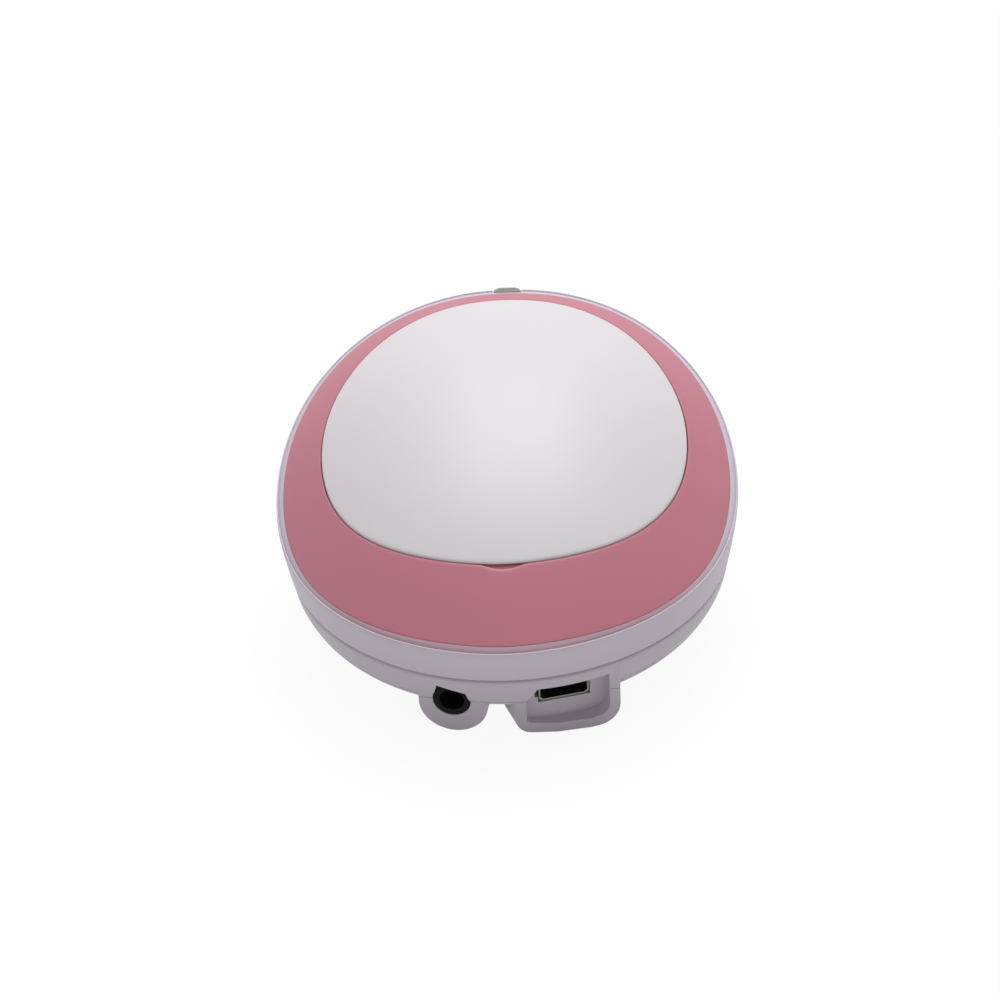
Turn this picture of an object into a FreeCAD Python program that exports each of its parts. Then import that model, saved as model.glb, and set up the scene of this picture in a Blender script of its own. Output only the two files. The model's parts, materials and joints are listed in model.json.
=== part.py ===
import FreeCAD, Part
import math
import os

from FreeCAD import Rotation, Vector

# A palm-sized fetal doppler monitor: a pebble-shaped housing of two shells, a domed cover over the
# battery bay, a coloured accent ring, and a round ultrasound probe under the base.
# All sizes are millimetres. Heights are given from the seam between the two shells.

# ---- overall form -------------------------------------------------------------------------------
SEAM_HEIGHT = 15.0            # seam above the surface that the probe face rests on
SEAM_GAP = 0.3                # groove between the two shells
SHELL_WALL = 1.6
EDGE_GAP = 0.15               # shut line around the accent ring and the dome
BOND_GAP = 0.1                # glue line under the accent ring
SEAT_GAP = 0.3                # clearance under the lift-off dome

# Crest of the top along the middle, front to rear: distance behind the centre, height.
CREST = [(-34.9, 6.8), (-26.8, 15.3), (-12.0, 24.9), (3.0, 29.2), (19.0, 28.1), (31.0, 24.75), (34.4, 23.6)]
SIDE_DROP = 17.9              # how far the top falls from the crest to the side rim
SIDE_REACH = 33.85            # distance of that side rim from the middle
SIDE_POWER = 2.25
DROP_FRONT_GAIN = 0.36        # the sides fall faster towards the front
DROP_END_GAIN = 0.12
SHEET_HALF = 40.0             # half size of the square sheet that carries the top
SHEET_STEPS = 16

# Plan outlines: front, side and rear reach, and how sharply the front and rear take over.
RING_PLAN = (34.9, 33.75, 35.5, 2, 2)
DOME_PLAN = (26.4, 26.95, 30.1, 6, 4)
SEAM_RADIUS = 33.4
WALL_LEVELS = [(0.0, (SEAM_RADIUS, SEAM_RADIUS, SEAM_RADIUS, 2, 2)),
               (6.0, (35.5, 34.35, 34.8, 2, 2)),
               (13.0, (36.6, 34.8, 36.0, 2, 2)),
               (27.0, (37.2, 34.9, 36.9, 2, 2))]
OUTLINE_POINTS = 24
RIM_DROP = 0.25               # rim ledge below the accent ring

# ---- top covers ---------------------------------------------------------------------------------
RING_WALL = 1.7
DECK_WALL = 1.5
SKIRT_INSET = 2.5
SKIRT_WALL = 1.2
SKIRT_DEPTH = 2.0
NAIL_NOTCH_WIDTH = 6.4
NAIL_NOTCH_REACH = 0.42       # from the dome's front edge
NAIL_NOTCH_DEPTH = 0.8        # below the top

# ---- battery bay --------------------------------------------------------------------------------
BAY_FLOOR = 7.0
BAY_WALL = 1.2
CELL_SIZE = (30.0, 35.0, 6.0)
CELL_CENTRE = 1.5             # behind the middle
CELL_EDGE = 1.5
CELL_PAD = 0.8
LEAD_RADIUS = 0.6
LEAD_SPACING = 2.5
LEAD_BEND = 1.8
LEAD_REACH = 2.2              # how far the leads run ahead of the cell before they turn down
LEAD_SLOT_GAP = 0.5
LEAD_SIDE = 5.0               # leads and their plug, to the right of the middle

# ---- lower shell --------------------------------------------------------------------------------
BOWL = [(33.25, -0.15), (33.05, -2.0), (32.4, -4.0), (31.3, -6.0), (29.6, -7.7), (27.0, -9.0), (24.0, -9.9)]
BELLY_RADIUS = 20.5
BELLY_LEVEL = -10.6
LIP_WALL = 0.7
LIP_HEIGHT = 1.4
LIP_GAP = 0.15

# ---- probe --------------------------------------------------------------------------------------
PROBE_RADIUS = 16.5
PROBE_FOOT_RADIUS = 15.3
PROBE_WALL = 1.6
PROBE_FLANGE = 1.6            # flange beyond the probe's side, inside the shell
PROBE_FLANGE_WALL = 1.2
PROBE_GAP = 0.15
GASKET_WALL = 0.6
WINDOW_WALL = 1.2
WINDOW_GAP = 0.1
CRYSTAL_RADIUS = 11.0
CRYSTAL_WALL = 1.0
DIVIDER_WALL = 1.2
BACKING_WALL = 2.4
CAN_WALL = 0.3
CAN_RADIUS = 12.6

# ---- circuit board ------------------------------------------------------------------------------
BOARD_TOP = -5.2
BOARD_WALL = 1.0
BOARD_RADIUS = 22.5
BOARD_GAP = 0.4
POST_INSET = 2.2              # posts from the board's edge
POST_ANGLES = (50, 130, 230, 310)
POST_RADIUS = 1.9
POST_HOLE = 0.75
SCREW_THREAD = 0.8
SCREW_HEAD = 1.5
SCREW_HEAD_HEIGHT = 0.9
BOARD_SCREW_LENGTH = 3.0
SOLDER_GAP = 0.02             # between the board and what stands on it
CONTROLLER_PLACE = (-9.0, 3.0)
CONTROLLER_SIZE = (9.0, 9.0, 1.2)
AMPLIFIER_PLACE = (-8.0, -9.0)
AMPLIFIER_SIZE = (5.0, 6.0, 1.4)
CHARGER_PLACE = (9.0, -8.5)
CHARGER_SIZE = (3.0, 3.0, 0.9)
CRYSTAL_CAN_PLACE = (9.5, 4.0)
CRYSTAL_CAN_SIZE = (8.0, 3.2, 2.4)
CRYSTAL_CAN_CORNER = 1.4
CAPACITOR_PLACE = (-14.0, 12.6)
CAPACITOR_SIZE = (1.6, 0.9, 0.8)
CAPACITOR_STEP = 3.0
CAPACITOR_COUNT = 5
RESISTOR_PLACE = (6.0, -2.6)
RESISTOR_SIZE = (1.0, 0.6, 0.6)
RESISTOR_STEP = 2.6
RESISTOR_COUNT = 4
INDUCTOR_PLACE = (12.0, 11.0)
INDUCTOR_RADIUS = 2.4
INDUCTOR_HEIGHT = 2.2

# ---- housing screws, driven from below ----------------------------------------------------------
BOSS_GAP = 0.1                # between the screw bosses and the room round the board
BOSS_ANGLES = (58, 122, 200, 340)
BOSS_RADIUS = 2.8
BOSS_SPLIT = 0.4
HOUSING_SCREW_THREAD = 1.0
HOUSING_SCREW_BORE = 1.2
HOUSING_SCREW_HEAD = 2.0
HOUSING_SCREW_HEAD_HEIGHT = 1.4
HOUSING_SCREW_LENGTH = 9.0
COUNTERBORE = 2.3
HOUSING_HEAD_LEVEL = -5.2     # seat of the screws' heads

# ---- headphone socket ---------------------------------------------------------------------------
JACK_AZIMUTH = -14.0          # degrees from the front, towards the right
JACK_LEVEL = -5.2
JACK_FACE = 31.5              # socket face from the centre
JACK_BOSS_HALF = 5.2
JACK_BOSS_ARC_LEVEL = -5.7
JACK_PORT_RADIUS = 2.75
JACK_PORT_GAP = 0.1
JACK_BROW = [(-1.7, 3.45), (2.45, 2.35)]     # slanting top edge of the port, from the socket's axis
JACK_BORE = 1.8
JACK_BORE_LENGTH = 11.0
JACK_BARREL_LENGTH = 1.6
JACK_BODY = (6.2, 10.6, 5.0)
JACK_INSET = 0.4

# ---- micro-USB socket ---------------------------------------------------------------------------
USB_AZIMUTH = 14.0
USB_OFFSET = 0.95             # socket centre beside that azimuth
USB_LEVEL = -5.7
USB_FACE = 29.6
USB_SIZE = (7.4, 5.2, 2.45)
USB_WALL = 0.25
USB_CHAMFER = 0.45
USB_TONGUE = (4.6, 0.6)
TRAY_UNDERSIDE = [(-6.5, -10.6), (-0.5, -11.5), (4.5, -11.8), (8.7, -11.5)]
TRAY_SIDE_WALL = 1.6
TRAY_FLOOR_WALL = 1.6
TRAY_FACE = 31.5
TRAY_BACK = 28.5
TRAY_CEILING = -2.0
TRAY_BROW = (1.35, 2.7)       # slanting corner of the opening, at the left
TRAY_CORNERS = (2.2, 3.0)
TRAY_INNER_CORNER = 0.6

# ---- power button and its switch ----------------------------------------------------------------
BUTTON_WIDTH = 4.6
BUTTON_BOTTOM = 17.4
BUTTON_PROUD = 0.75
BUTTON_TRAVEL = 0.3
BUTTON_GAP = 0.15
BUTTON_NECK_TOP = 20.0
BUTTON_FLANGE = 0.9
BUTTON_EDGE = 0.35
SWITCH_SIZE = (6.0, 1.9, 3.6)
SWITCH_LEVEL = 18.0
PLUNGER_RADIUS = 0.85
PLUNGER_GAP = 0.08
PLUNGER_REACH = 0.7
SWITCH_BOARD = (9.6, 1.0, 6.2)
REAR_WALL_REACH = 36.2        # outside of the rear wall at the button
REAR_RIM = 36.75              # rear reach of the shell's rim

# The frame's origin is under the middle of the bounding box.
FRONT_REACH = 35.48
REAR_REACH = REAR_RIM + BUTTON_PROUD
FRAME_SHIFT = Vector(0, (FRONT_REACH - REAR_REACH) / 2, SEAM_HEIGHT)
FAR = 60.0


# ---- shared shapes ------------------------------------------------------------------------------
def natural_spline(points):
    """Height along the crest: a natural cubic spline through its points."""
    count = len(points) - 1
    xs = [p[0] for p in points]
    zs = [p[1] for p in points]
    step = [xs[i + 1] - xs[i] for i in range(count)]
    bend = [0.0] * (count + 1)
    upper = [0.0] * (count + 1)
    for i in range(1, count):
        slope_change = (zs[i + 1] - zs[i]) / step[i] - (zs[i] - zs[i - 1]) / step[i - 1]
        pivot = 2 * (step[i - 1] + step[i]) - step[i - 1] * upper[i - 1]
        upper[i] = step[i] / pivot
        bend[i] = (6 * slope_change - step[i - 1] * bend[i - 1]) / pivot
    for i in range(count - 1, 0, -1):
        bend[i] -= upper[i] * bend[i + 1]

    def height(x):
        i = max(k for k in range(count) if k == 0 or xs[k] <= x)
        a = xs[i + 1] - x
        b = x - xs[i]
        curve = (bend[i] * a ** 3 + bend[i + 1] * b ** 3) / (6 * step[i])
        left = (zs[i] / step[i] - bend[i] * step[i] / 6) * a
        right = (zs[i + 1] / step[i] - bend[i + 1] * step[i] / 6) * b
        return curve + left + right

    return height


crest_height = natural_spline(CREST)


def top_height(x, y):
    """Height of the outer top surface above the seam."""
    u = y / SEAM_RADIUS
    gain = 1 - DROP_FRONT_GAIN * u + DROP_END_GAIN * u * u
    return crest_height(y) - SIDE_DROP * gain * (abs(x) / SIDE_REACH) ** SIDE_POWER


def make_top_sheet():
    """The outer top surface as one spline face over a square."""
    step = 2 * SHEET_HALF / SHEET_STEPS
    stations = [-SHEET_HALF + i * step for i in range(SHEET_STEPS + 1)]
    grid = [[Vector(x, y, top_height(x, y)) for y in stations] for x in stations]
    surface = Part.BSplineSurface()
    surface.interpolate(grid)
    return surface.toShape()


top_sheet = make_top_sheet()


def slab(drop_top, drop_bottom):
    """The space between two copies of the top surface, each lowered by a drop."""
    low = top_sheet.translated(Vector(0, 0, -drop_bottom))
    return low.extrude(Vector(0, 0, drop_bottom - drop_top))


def under_top(drop):
    return slab(drop, drop + FAR)


def plan_radius(plan, angle):
    """Reach of an outline at an angle from the front."""
    front, side, rear, front_power, rear_power = plan
    c = math.cos(angle)
    if c > 0:
        return side + (front - side) * c ** front_power
    return side + (rear - side) * (-c) ** rear_power


def plan_wire(plan, level, grow=0.0):
    points = []
    for i in range(OUTLINE_POINTS):
        angle = 2 * math.pi * i / OUTLINE_POINTS
        reach = plan_radius(plan, angle) + grow
        points.append(Vector(reach * math.sin(angle), -reach * math.cos(angle), level))
    curve = Part.BSplineCurve()
    curve.interpolate(Points=points, PeriodicFlag=True)
    return Part.Wire(curve.toShape())


def prism(plan, low, high, grow=0.0):
    face = Part.Face(plan_wire(plan, low, grow))
    return face.extrude(Vector(0, 0, high - low))


def wall_loft(grow, low):
    """The shell's outer form, or its inner form with a negative growth."""
    wires = [plan_wire(plan, level, grow) for level, plan in WALL_LEVELS]
    wires[0].translate(Vector(0, 0, low))
    return Part.makeLoft(wires, True, False)


def box(x, y, z):
    """A box from (low, high) pairs."""
    return Part.makeBox(x[1] - x[0], y[1] - y[0], z[1] - z[0], Vector(x[0], y[0], z[0]))


def cylinder(radius, low, high, x=0.0, y=0.0):
    return Part.makeCylinder(radius, high - low, Vector(x, y, low))


def polar(circle, degrees):
    angle = math.radians(degrees)
    return circle * math.cos(angle), circle * math.sin(angle)


def revolved(points):
    """A solid of revolution about Z from (radius, height) corners."""
    corners = [Vector(r, 0, z) for r, z in points]
    face = Part.Face(Part.makePolygon(corners + corners[:1]))
    return face.revolve(Vector(0, 0, 0), Vector(0, 0, 1), 360)


def to_socket(shape, azimuth):
    """Turn a shape that faces the front towards a socket's azimuth."""
    return shape.rotated(Vector(0, 0, 0), Vector(0, 0, 1), azimuth)


def front_plate(wire_points, near, far):
    """A plate from (x, z) corners, standing between two distances in front of the centre."""
    corners = [Vector(x, -near, z) for x, z in wire_points]
    face = Part.Face(Part.makePolygon(corners + corners[:1]))
    return face.extrude(Vector(0, near - far, 0))


def rounded(shape, edges, radius):
    return shape.makeFillet(radius, edges) if edges else shape


def edges_along(shape, direction):
    """The straight edges that run along a direction."""
    found = []
    for edge in shape.Edges:
        if edge.Curve.TypeId == "Part::GeomLine" and abs(edge.tangentAt(edge.FirstParameter).dot(direction)) > 0.999:
            found.append(edge)
    return found


# ---- levels that several pieces share -----------------------------------------------------------
deck_drop = RING_WALL + BOND_GAP
ceiling_drop = deck_drop + DECK_WALL
dome_opening = -SKIRT_INSET + SEAT_GAP
probe_flange_level = BELLY_LEVEL + SHELL_WALL + GASKET_WALL
board_bottom = BOARD_TOP - BOARD_WALL
window_level = -SEAM_HEIGHT
crystal_level = window_level + WINDOW_WALL + PROBE_GAP
backing_level = crystal_level + CRYSTAL_WALL + PROBE_GAP
can_level = backing_level + BACKING_WALL + PROBE_GAP
dome_wall = deck_drop - SEAT_GAP
button_face = REAR_REACH
button_head_back = RING_PLAN[2] + EDGE_GAP + BUTTON_TRAVEL + BUTTON_GAP
flange_face = REAR_WALL_REACH - SHELL_WALL - BUTTON_GAP
flange_back = flange_face - BUTTON_FLANGE
switch_face = flange_back - PLUNGER_REACH
switch_board_face = switch_face - SWITCH_SIZE[1]
cell_level = BAY_FLOOR + CELL_PAD + BOND_GAP
lead_row = CELL_CENTRE - CELL_SIZE[1] / 2 - LEAD_REACH
post_circle = BOARD_RADIUS - POST_INSET
boss_circle = BOARD_RADIUS + BOARD_GAP + BOSS_GAP + BOSS_RADIUS + SHELL_WALL / 2
jack_back = JACK_FACE - JACK_INSET - JACK_BARREL_LENGTH
tray_left = TRAY_UNDERSIDE[0][0]
tray_right = TRAY_UNDERSIDE[-1][0]
block_top = -BOSS_SPLIT


# ---- top covers ---------------------------------------------------------------------------------
def make_dome_cover():
    plate = slab(0, dome_wall).common(prism(DOME_PLAN, 0, FAR))
    band = slab(dome_wall - 0.3, dome_wall + SKIRT_DEPTH)
    skirt = prism(DOME_PLAN, 0, FAR, -SKIRT_INSET).cut(prism(DOME_PLAN, -1, FAR + 1, -SKIRT_INSET - SKIRT_WALL))
    return plate.fuse(band.common(skirt)).removeSplitter()


def make_nail_notch():
    """A shallow round bite beside the dome's front edge, for a fingernail."""
    half = NAIL_NOTCH_WIDTH / 2
    radius = (half * half + NAIL_NOTCH_REACH ** 2) / (2 * NAIL_NOTCH_REACH)
    bite = cylinder(radius, 0, FAR, 0, -DOME_PLAN[0] - NAIL_NOTCH_REACH + radius)
    return bite.common(slab(-SEAT_GAP, NAIL_NOTCH_DEPTH))


def make_accent_ring():
    plate = slab(0, RING_WALL).common(prism(RING_PLAN, 0, FAR))
    plate = plate.cut(prism(DOME_PLAN, -1, FAR + 1, EDGE_GAP))
    return plate.cut(make_nail_notch())


# ---- upper shell --------------------------------------------------------------------------------
def make_bay_cup():
    """The battery bay hanging under the opening of the deck."""
    cup = prism(DOME_PLAN, BAY_FLOOR - BAY_WALL, FAR, dome_opening + BAY_WALL)
    return cup.common(under_top(deck_drop))


def button_slot():
    half = BUTTON_WIDTH / 2 + BUTTON_GAP
    low = BUTTON_BOTTOM - BUTTON_GAP
    through = box((-half, half), (flange_back, FAR), (low, BUTTON_NECK_TOP + BUTTON_GAP))
    rim = box((-half, half), (RING_PLAN[2] + EDGE_GAP, FAR), (low, FAR))
    return through.fuse(rim)


def switch_rails():
    """Two rails behind the bay that hold the switch board by its edges."""
    half = SWITCH_BOARD[0] / 2 + LIP_GAP
    back = DOME_PLAN[2] + dome_opening
    low = SWITCH_LEVEL - SWITCH_BOARD[2] / 2
    high = low + SWITCH_BOARD[2]
    left = box((-half - 1.2, -half), (back, switch_board_face + 0.3), (low, high))
    return left.fuse(left.mirror(Vector(0, 0, 0), Vector(1, 0, 0)))


def upper_bosses():
    bosses = []
    for degrees in BOSS_ANGLES:
        x, y = polar(boss_circle, degrees)
        bosses.append(cylinder(BOSS_RADIUS, BOSS_SPLIT, FAR, x, y))
    return bosses


def make_upper_shell():
    outer = wall_loft(0.0, SEAM_GAP / 2).common(under_top(RIM_DROP))
    recess = slab(-FAR, deck_drop).common(prism(RING_PLAN, 0, FAR, EDGE_GAP))
    inner = wall_loft(-SHELL_WALL, -1.0).common(under_top(ceiling_drop))
    shell = outer.cut(recess).cut(inner)
    shell = shell.fuse(make_bay_cup())
    deck = under_top(deck_drop).common(wall_loft(-SHELL_WALL / 2, 0.0))
    for boss in upper_bosses():
        shell = shell.fuse(boss.common(deck))
    shell = shell.fuse(switch_rails().common(deck))
    shell = shell.cut(prism(DOME_PLAN, BAY_FLOOR, FAR, dome_opening))
    for degrees in BOSS_ANGLES:
        x, y = polar(boss_circle, degrees)
        shell = shell.cut(cylinder(HOUSING_SCREW_THREAD, -1, HOUSING_SCREW_LENGTH, x, y))
    return shell.cut(button_slot()).cut(lead_slot()).removeSplitter()


# ---- lower shell --------------------------------------------------------------------------------
def bowl_solid(grow, level):
    """The bowl of the lower shell as a solid, or its hollow with a negative growth."""
    points = [Vector(r + grow, 0, z - grow * (0 if i == 0 else 0.35)) for i, (r, z) in enumerate(BOWL)]
    curve = Part.BSplineCurve()
    curve.interpolate(points)
    top = Vector(0, 0, points[0].z)
    foot = Vector(BELLY_RADIUS, 0, level)
    bottom = Vector(0, 0, level)
    lines = [(points[-1], foot), (foot, bottom), (bottom, top), (top, points[0])]
    edges = [curve.toShape()] + [Part.makeLine(a, b) for a, b in lines]
    face = Part.Face(Part.Wire(Part.__sortEdges__(edges)))
    return face.revolve(Vector(0, 0, 0), Vector(0, 0, 1), 360)


def jack_boss():
    """Half-round boss under the shell: straight sides and a round foot."""
    half = JACK_BOSS_HALF
    block = box((-half, half), (-JACK_FACE, -BELLY_RADIUS), (JACK_BOSS_ARC_LEVEL, block_top))
    foot = Part.makeCylinder(half, JACK_FACE - BELLY_RADIUS, Vector(0, -BELLY_RADIUS, JACK_BOSS_ARC_LEVEL),
                             Vector(0, -1, 0))
    return to_socket(block.fuse(foot), JACK_AZIMUTH)


def rounded_foot(plate, reaches):
    """Round the two lower corners of a plate, each with its own radius."""
    uprights = edges_along(plate, Vector(0, 1, 0))
    for side, radius in reaches:
        corner = [e for e in uprights if abs(e.CenterOfMass.x - side[0]) < 0.01 and abs(e.CenterOfMass.z - side[1]) < 0.01]
        plate = rounded(plate, corner, radius)
        uprights = edges_along(plate, Vector(0, 1, 0))
    return plate


def tray_block():
    """The block under the shell that holds the recess for the charging plug."""
    corners = [(tray_left, block_top)] + TRAY_UNDERSIDE + [(tray_right, block_top)]
    block = front_plate(corners, BELLY_RADIUS, TRAY_FACE)
    left, right = TRAY_CORNERS
    return to_socket(rounded_foot(block, [(TRAY_UNDERSIDE[0], left), (TRAY_UNDERSIDE[-1], right)]), USB_AZIMUTH)


def tray_hollow():
    """The recess itself, with a slanting upper corner, and the brow cut back above its right wall."""
    left = tray_left + TRAY_SIDE_WALL
    right = tray_right - TRAY_SIDE_WALL
    across, down = TRAY_BROW
    floor = [(x, z + TRAY_FLOOR_WALL) for x, z in TRAY_UNDERSIDE]
    floor[0] = (left, floor[0][1])
    floor[-1] = (right, floor[-1][1])
    brow = [(left, TRAY_CEILING - down), (left + across, TRAY_CEILING)]
    hollow = front_plate([(right, TRAY_CEILING)] + floor[::-1] + brow, TRAY_BACK, FAR)
    foot = [(floor[0], TRAY_INNER_CORNER), (floor[-1], TRAY_CORNERS[1] - TRAY_SIDE_WALL)]
    hollow = rounded_foot(hollow, foot)
    above = box((right - 1.0, tray_right), (-FAR, -TRAY_FACE), (USB_LEVEL, TRAY_CEILING))
    return to_socket(hollow.fuse(above), USB_AZIMUTH)


def port_section(inset):
    """The headphone port's section: round, with a slanting top edge."""
    radius = JACK_PORT_RADIUS - inset
    section = Part.makeCylinder(radius, 1.0, Vector(0, 0, 0), Vector(0, -1, 0))
    (left, left_rise), (right, right_rise) = JACK_BROW
    corners = [(-radius, 0), (left + inset / 2, left_rise - inset), (right - inset, right_rise - inset), (radius, 0)]
    return section.fuse(front_plate(corners, 0, 1.0)).removeSplitter()


def port_plug(inset, near, far):
    """The port's section between two distances in front of the centre."""
    front = max(port_section(inset).Faces, key=lambda face: -face.CenterOfMass.y)
    start = Vector(0, 1.0 - near, JACK_LEVEL)
    return front.translated(start).extrude(Vector(0, near - far, 0))


def jack_hollow():
    width, depth, height = JACK_BODY
    half = width / 2 + EDGE_GAP
    room = box((-half, half), (-jack_back - EDGE_GAP, 0), (JACK_LEVEL - height / 2 - EDGE_GAP, 0))
    return to_socket(room.fuse(port_plug(0.0, jack_back, FAR)), JACK_AZIMUTH)


def tray_room():
    """The space behind the tray's back wall, where the charging socket reaches the circuit board."""
    left = tray_left + TRAY_SIDE_WALL
    right = tray_right - TRAY_SIDE_WALL
    floor = TRAY_UNDERSIDE[0][1] + TRAY_FLOOR_WALL
    room = box((left, right), (-TRAY_BACK + SHELL_WALL, -BELLY_RADIUS + 3), (floor, 0))
    return to_socket(room, USB_AZIMUTH)


def usb_hollow():
    width, depth, height = USB_SIZE
    half = width / 2 + EDGE_GAP
    room = box((USB_OFFSET - half, USB_OFFSET + half), (-TRAY_FACE, -BELLY_RADIUS - 1),
               (USB_LEVEL - height / 2 - EDGE_GAP, USB_LEVEL + height / 2 + EDGE_GAP))
    return to_socket(room, USB_AZIMUTH)


def lower_bosses():
    """Screw bosses, their counterbores and their bores."""
    solids = []
    holes = []
    for degrees in BOSS_ANGLES:
        x, y = polar(boss_circle, degrees)
        solids.append(cylinder(BOSS_RADIUS + SHELL_WALL / 2, BELLY_LEVEL, -BOSS_SPLIT, x, y))
        holes.append(cylinder(HOUSING_SCREW_BORE, -FAR, FAR, x, y))
        holes.append(cylinder(COUNTERBORE, -FAR, HOUSING_HEAD_LEVEL, x, y))
    return solids, holes


def board_posts():
    solids = []
    holes = []
    for degrees in POST_ANGLES:
        x, y = polar(post_circle, degrees)
        solids.append(cylinder(POST_RADIUS, BELLY_LEVEL, board_bottom - BOND_GAP, x, y))
        holes.append(cylinder(POST_HOLE, board_bottom - BOARD_SCREW_LENGTH, 0, x, y))
    return solids, holes


def make_lower_shell():
    outer = bowl_solid(0.0, BELLY_LEVEL)
    inner = bowl_solid(-SHELL_WALL, BELLY_LEVEL + SHELL_WALL)
    lip_outer = BOWL[0][0] - SHELL_WALL - LIP_GAP
    lip = cylinder(lip_outer, -3.0, LIP_HEIGHT).cut(cylinder(lip_outer - LIP_WALL, -3.5, LIP_HEIGHT + 1))
    boss_solids, boss_holes = lower_bosses()
    post_solids, post_holes = board_posts()
    inside = outer.cut(cylinder(lip_outer + FAR, -BOSS_SPLIT, FAR))
    shell = outer.cut(inner).fuse(lip)
    for solid in boss_solids + post_solids:
        shell = shell.fuse(solid.common(inside))
    below = cylinder(FAR, -FAR, block_top)
    shell = shell.fuse(jack_boss().common(below)).fuse(tray_block().common(below))
    for hole in boss_holes + post_holes:
        shell = shell.cut(hole)
    shell = shell.cut(jack_hollow()).cut(tray_hollow()).cut(usb_hollow()).cut(tray_room())
    shell = shell.cut(cylinder(BOARD_RADIUS + BOARD_GAP, board_bottom - BOND_GAP, 0))
    return shell.cut(cylinder(PROBE_RADIUS + PROBE_GAP, -FAR, FAR)).removeSplitter()


# ---- probe --------------------------------------------------------------------------------------
def make_probe_housing():
    top = probe_flange_level + PROBE_FLANGE_WALL
    reach = PROBE_RADIUS + PROBE_FLANGE
    cup = revolved([(0, window_level), (PROBE_FOOT_RADIUS, window_level), (PROBE_RADIUS, window_level + 1.6),
                    (PROBE_RADIUS, probe_flange_level), (reach, probe_flange_level), (reach, top), (0, top)])
    hollow = cylinder(PROBE_RADIUS - PROBE_WALL, crystal_level - PROBE_GAP, FAR)
    window = cylinder(CRYSTAL_RADIUS + 2, -FAR, FAR)
    return cup.cut(hollow).cut(window)


def make_probe_face():
    """The acoustic window: a disc that closes the foot of the probe."""
    return cylinder(CRYSTAL_RADIUS + 2 - WINDOW_GAP, window_level, window_level + WINDOW_WALL)


def make_probe_gasket():
    reach = PROBE_RADIUS + PROBE_FLANGE
    low = BELLY_LEVEL + SHELL_WALL
    return cylinder(reach, low + 0.02, probe_flange_level - 0.02).cut(cylinder(PROBE_RADIUS + PROBE_GAP, -FAR, FAR))


def half_crystal(side):
    disc = cylinder(CRYSTAL_RADIUS, crystal_level, crystal_level + CRYSTAL_WALL)
    gap = DIVIDER_WALL / 2 + PROBE_GAP
    keep = box((gap, FAR), (-FAR, FAR), (-FAR, FAR))
    if side < 0:
        keep = keep.mirror(Vector(0, 0, 0), Vector(1, 0, 0))
    return disc.common(keep)


def make_crystal_divider():
    half = DIVIDER_WALL / 2
    plate = box((-half, half), (-CRYSTAL_RADIUS, CRYSTAL_RADIUS), (crystal_level, crystal_level + CRYSTAL_WALL))
    return plate


def make_backing_pad():
    return cylinder(CRYSTAL_RADIUS, backing_level, backing_level + BACKING_WALL)


def make_shield_can():
    """A thin metal cup over the crystals and their backing."""
    top = can_level + CAN_WALL
    can = cylinder(CAN_RADIUS, crystal_level, top)
    can = can.cut(cylinder(CAN_RADIUS - CAN_WALL, -FAR, can_level))
    return can.cut(cylinder(LEAD_RADIUS * 2, -FAR, FAR, 0, LEAD_SPACING))


def make_transducer_leads():
    """Two screened leads from the crystals' backing up to the circuit board."""
    leads = []
    for side in (-1, 1):
        low = backing_level + BACKING_WALL + 0.02
        leads.append(cylinder(LEAD_RADIUS / 2, low, board_bottom - 0.02, side * LEAD_RADIUS, LEAD_SPACING))
    return Part.makeCompound(leads)


# ---- circuit board and what stands on it --------------------------------------------------------
def make_main_board():
    board = cylinder(BOARD_RADIUS, board_bottom, BOARD_TOP)
    for degrees in POST_ANGLES:
        x, y = polar(post_circle, degrees)
        board = board.cut(cylinder(SCREW_THREAD + 0.2, -FAR, FAR, x, y))
    width, depth, height = JACK_BODY
    half = width / 2 + EDGE_GAP
    jack_notch = box((-half, half), (-FAR, -(jack_back - depth) + EDGE_GAP), (-FAR, FAR))
    usb_half = USB_SIZE[0] / 2 + EDGE_GAP
    usb_notch = box((USB_OFFSET - usb_half, USB_OFFSET + usb_half), (-FAR, -(USB_FACE - USB_SIZE[1]) + 2.4), (-FAR, FAR))
    board = board.cut(to_socket(jack_notch, JACK_AZIMUTH))
    return board.cut(to_socket(usb_notch, USB_AZIMUTH))


def chip(place, size):
    x, y = place
    width, depth, height = size
    across = (x - width / 2, x + width / 2)
    along = (y - depth / 2, y + depth / 2)
    return box(across, along, (BOARD_TOP + SOLDER_GAP, BOARD_TOP + height))


def chip_row(place, size, step, count):
    x, y = place
    return [chip((x + step * i, y), size) for i in range(count)]


def make_capacitors():
    """Small ceramic capacitors and resistors in two rows beside the chips."""
    pieces = chip_row(CAPACITOR_PLACE, CAPACITOR_SIZE, CAPACITOR_STEP, CAPACITOR_COUNT)
    pieces += chip_row(RESISTOR_PLACE, RESISTOR_SIZE, RESISTOR_STEP, RESISTOR_COUNT)
    return Part.makeCompound(pieces)


def make_power_inductor():
    return cylinder(INDUCTOR_RADIUS, BOARD_TOP + SOLDER_GAP, BOARD_TOP + INDUCTOR_HEIGHT, *INDUCTOR_PLACE)


def make_crystal_can():
    can = chip(CRYSTAL_CAN_PLACE, CRYSTAL_CAN_SIZE)
    return rounded(can, edges_along(can, Vector(0, 0, 1)), CRYSTAL_CAN_CORNER)


def board_screw(x, y):
    head = cylinder(SCREW_HEAD, BOARD_TOP + 0.02, BOARD_TOP + SCREW_HEAD_HEIGHT, x, y)
    thread = cylinder(POST_HOLE - 0.02, BOARD_TOP - BOARD_SCREW_LENGTH, BOARD_TOP + 0.3, x, y)
    recess = box((x - 0.9, x + 0.9), (y - 0.2, y + 0.2), (BOARD_TOP + 0.5, FAR))
    return head.fuse(thread).cut(recess)


def make_board_screws():
    return Part.makeCompound([board_screw(*polar(post_circle, degrees)) for degrees in POST_ANGLES])


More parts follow.
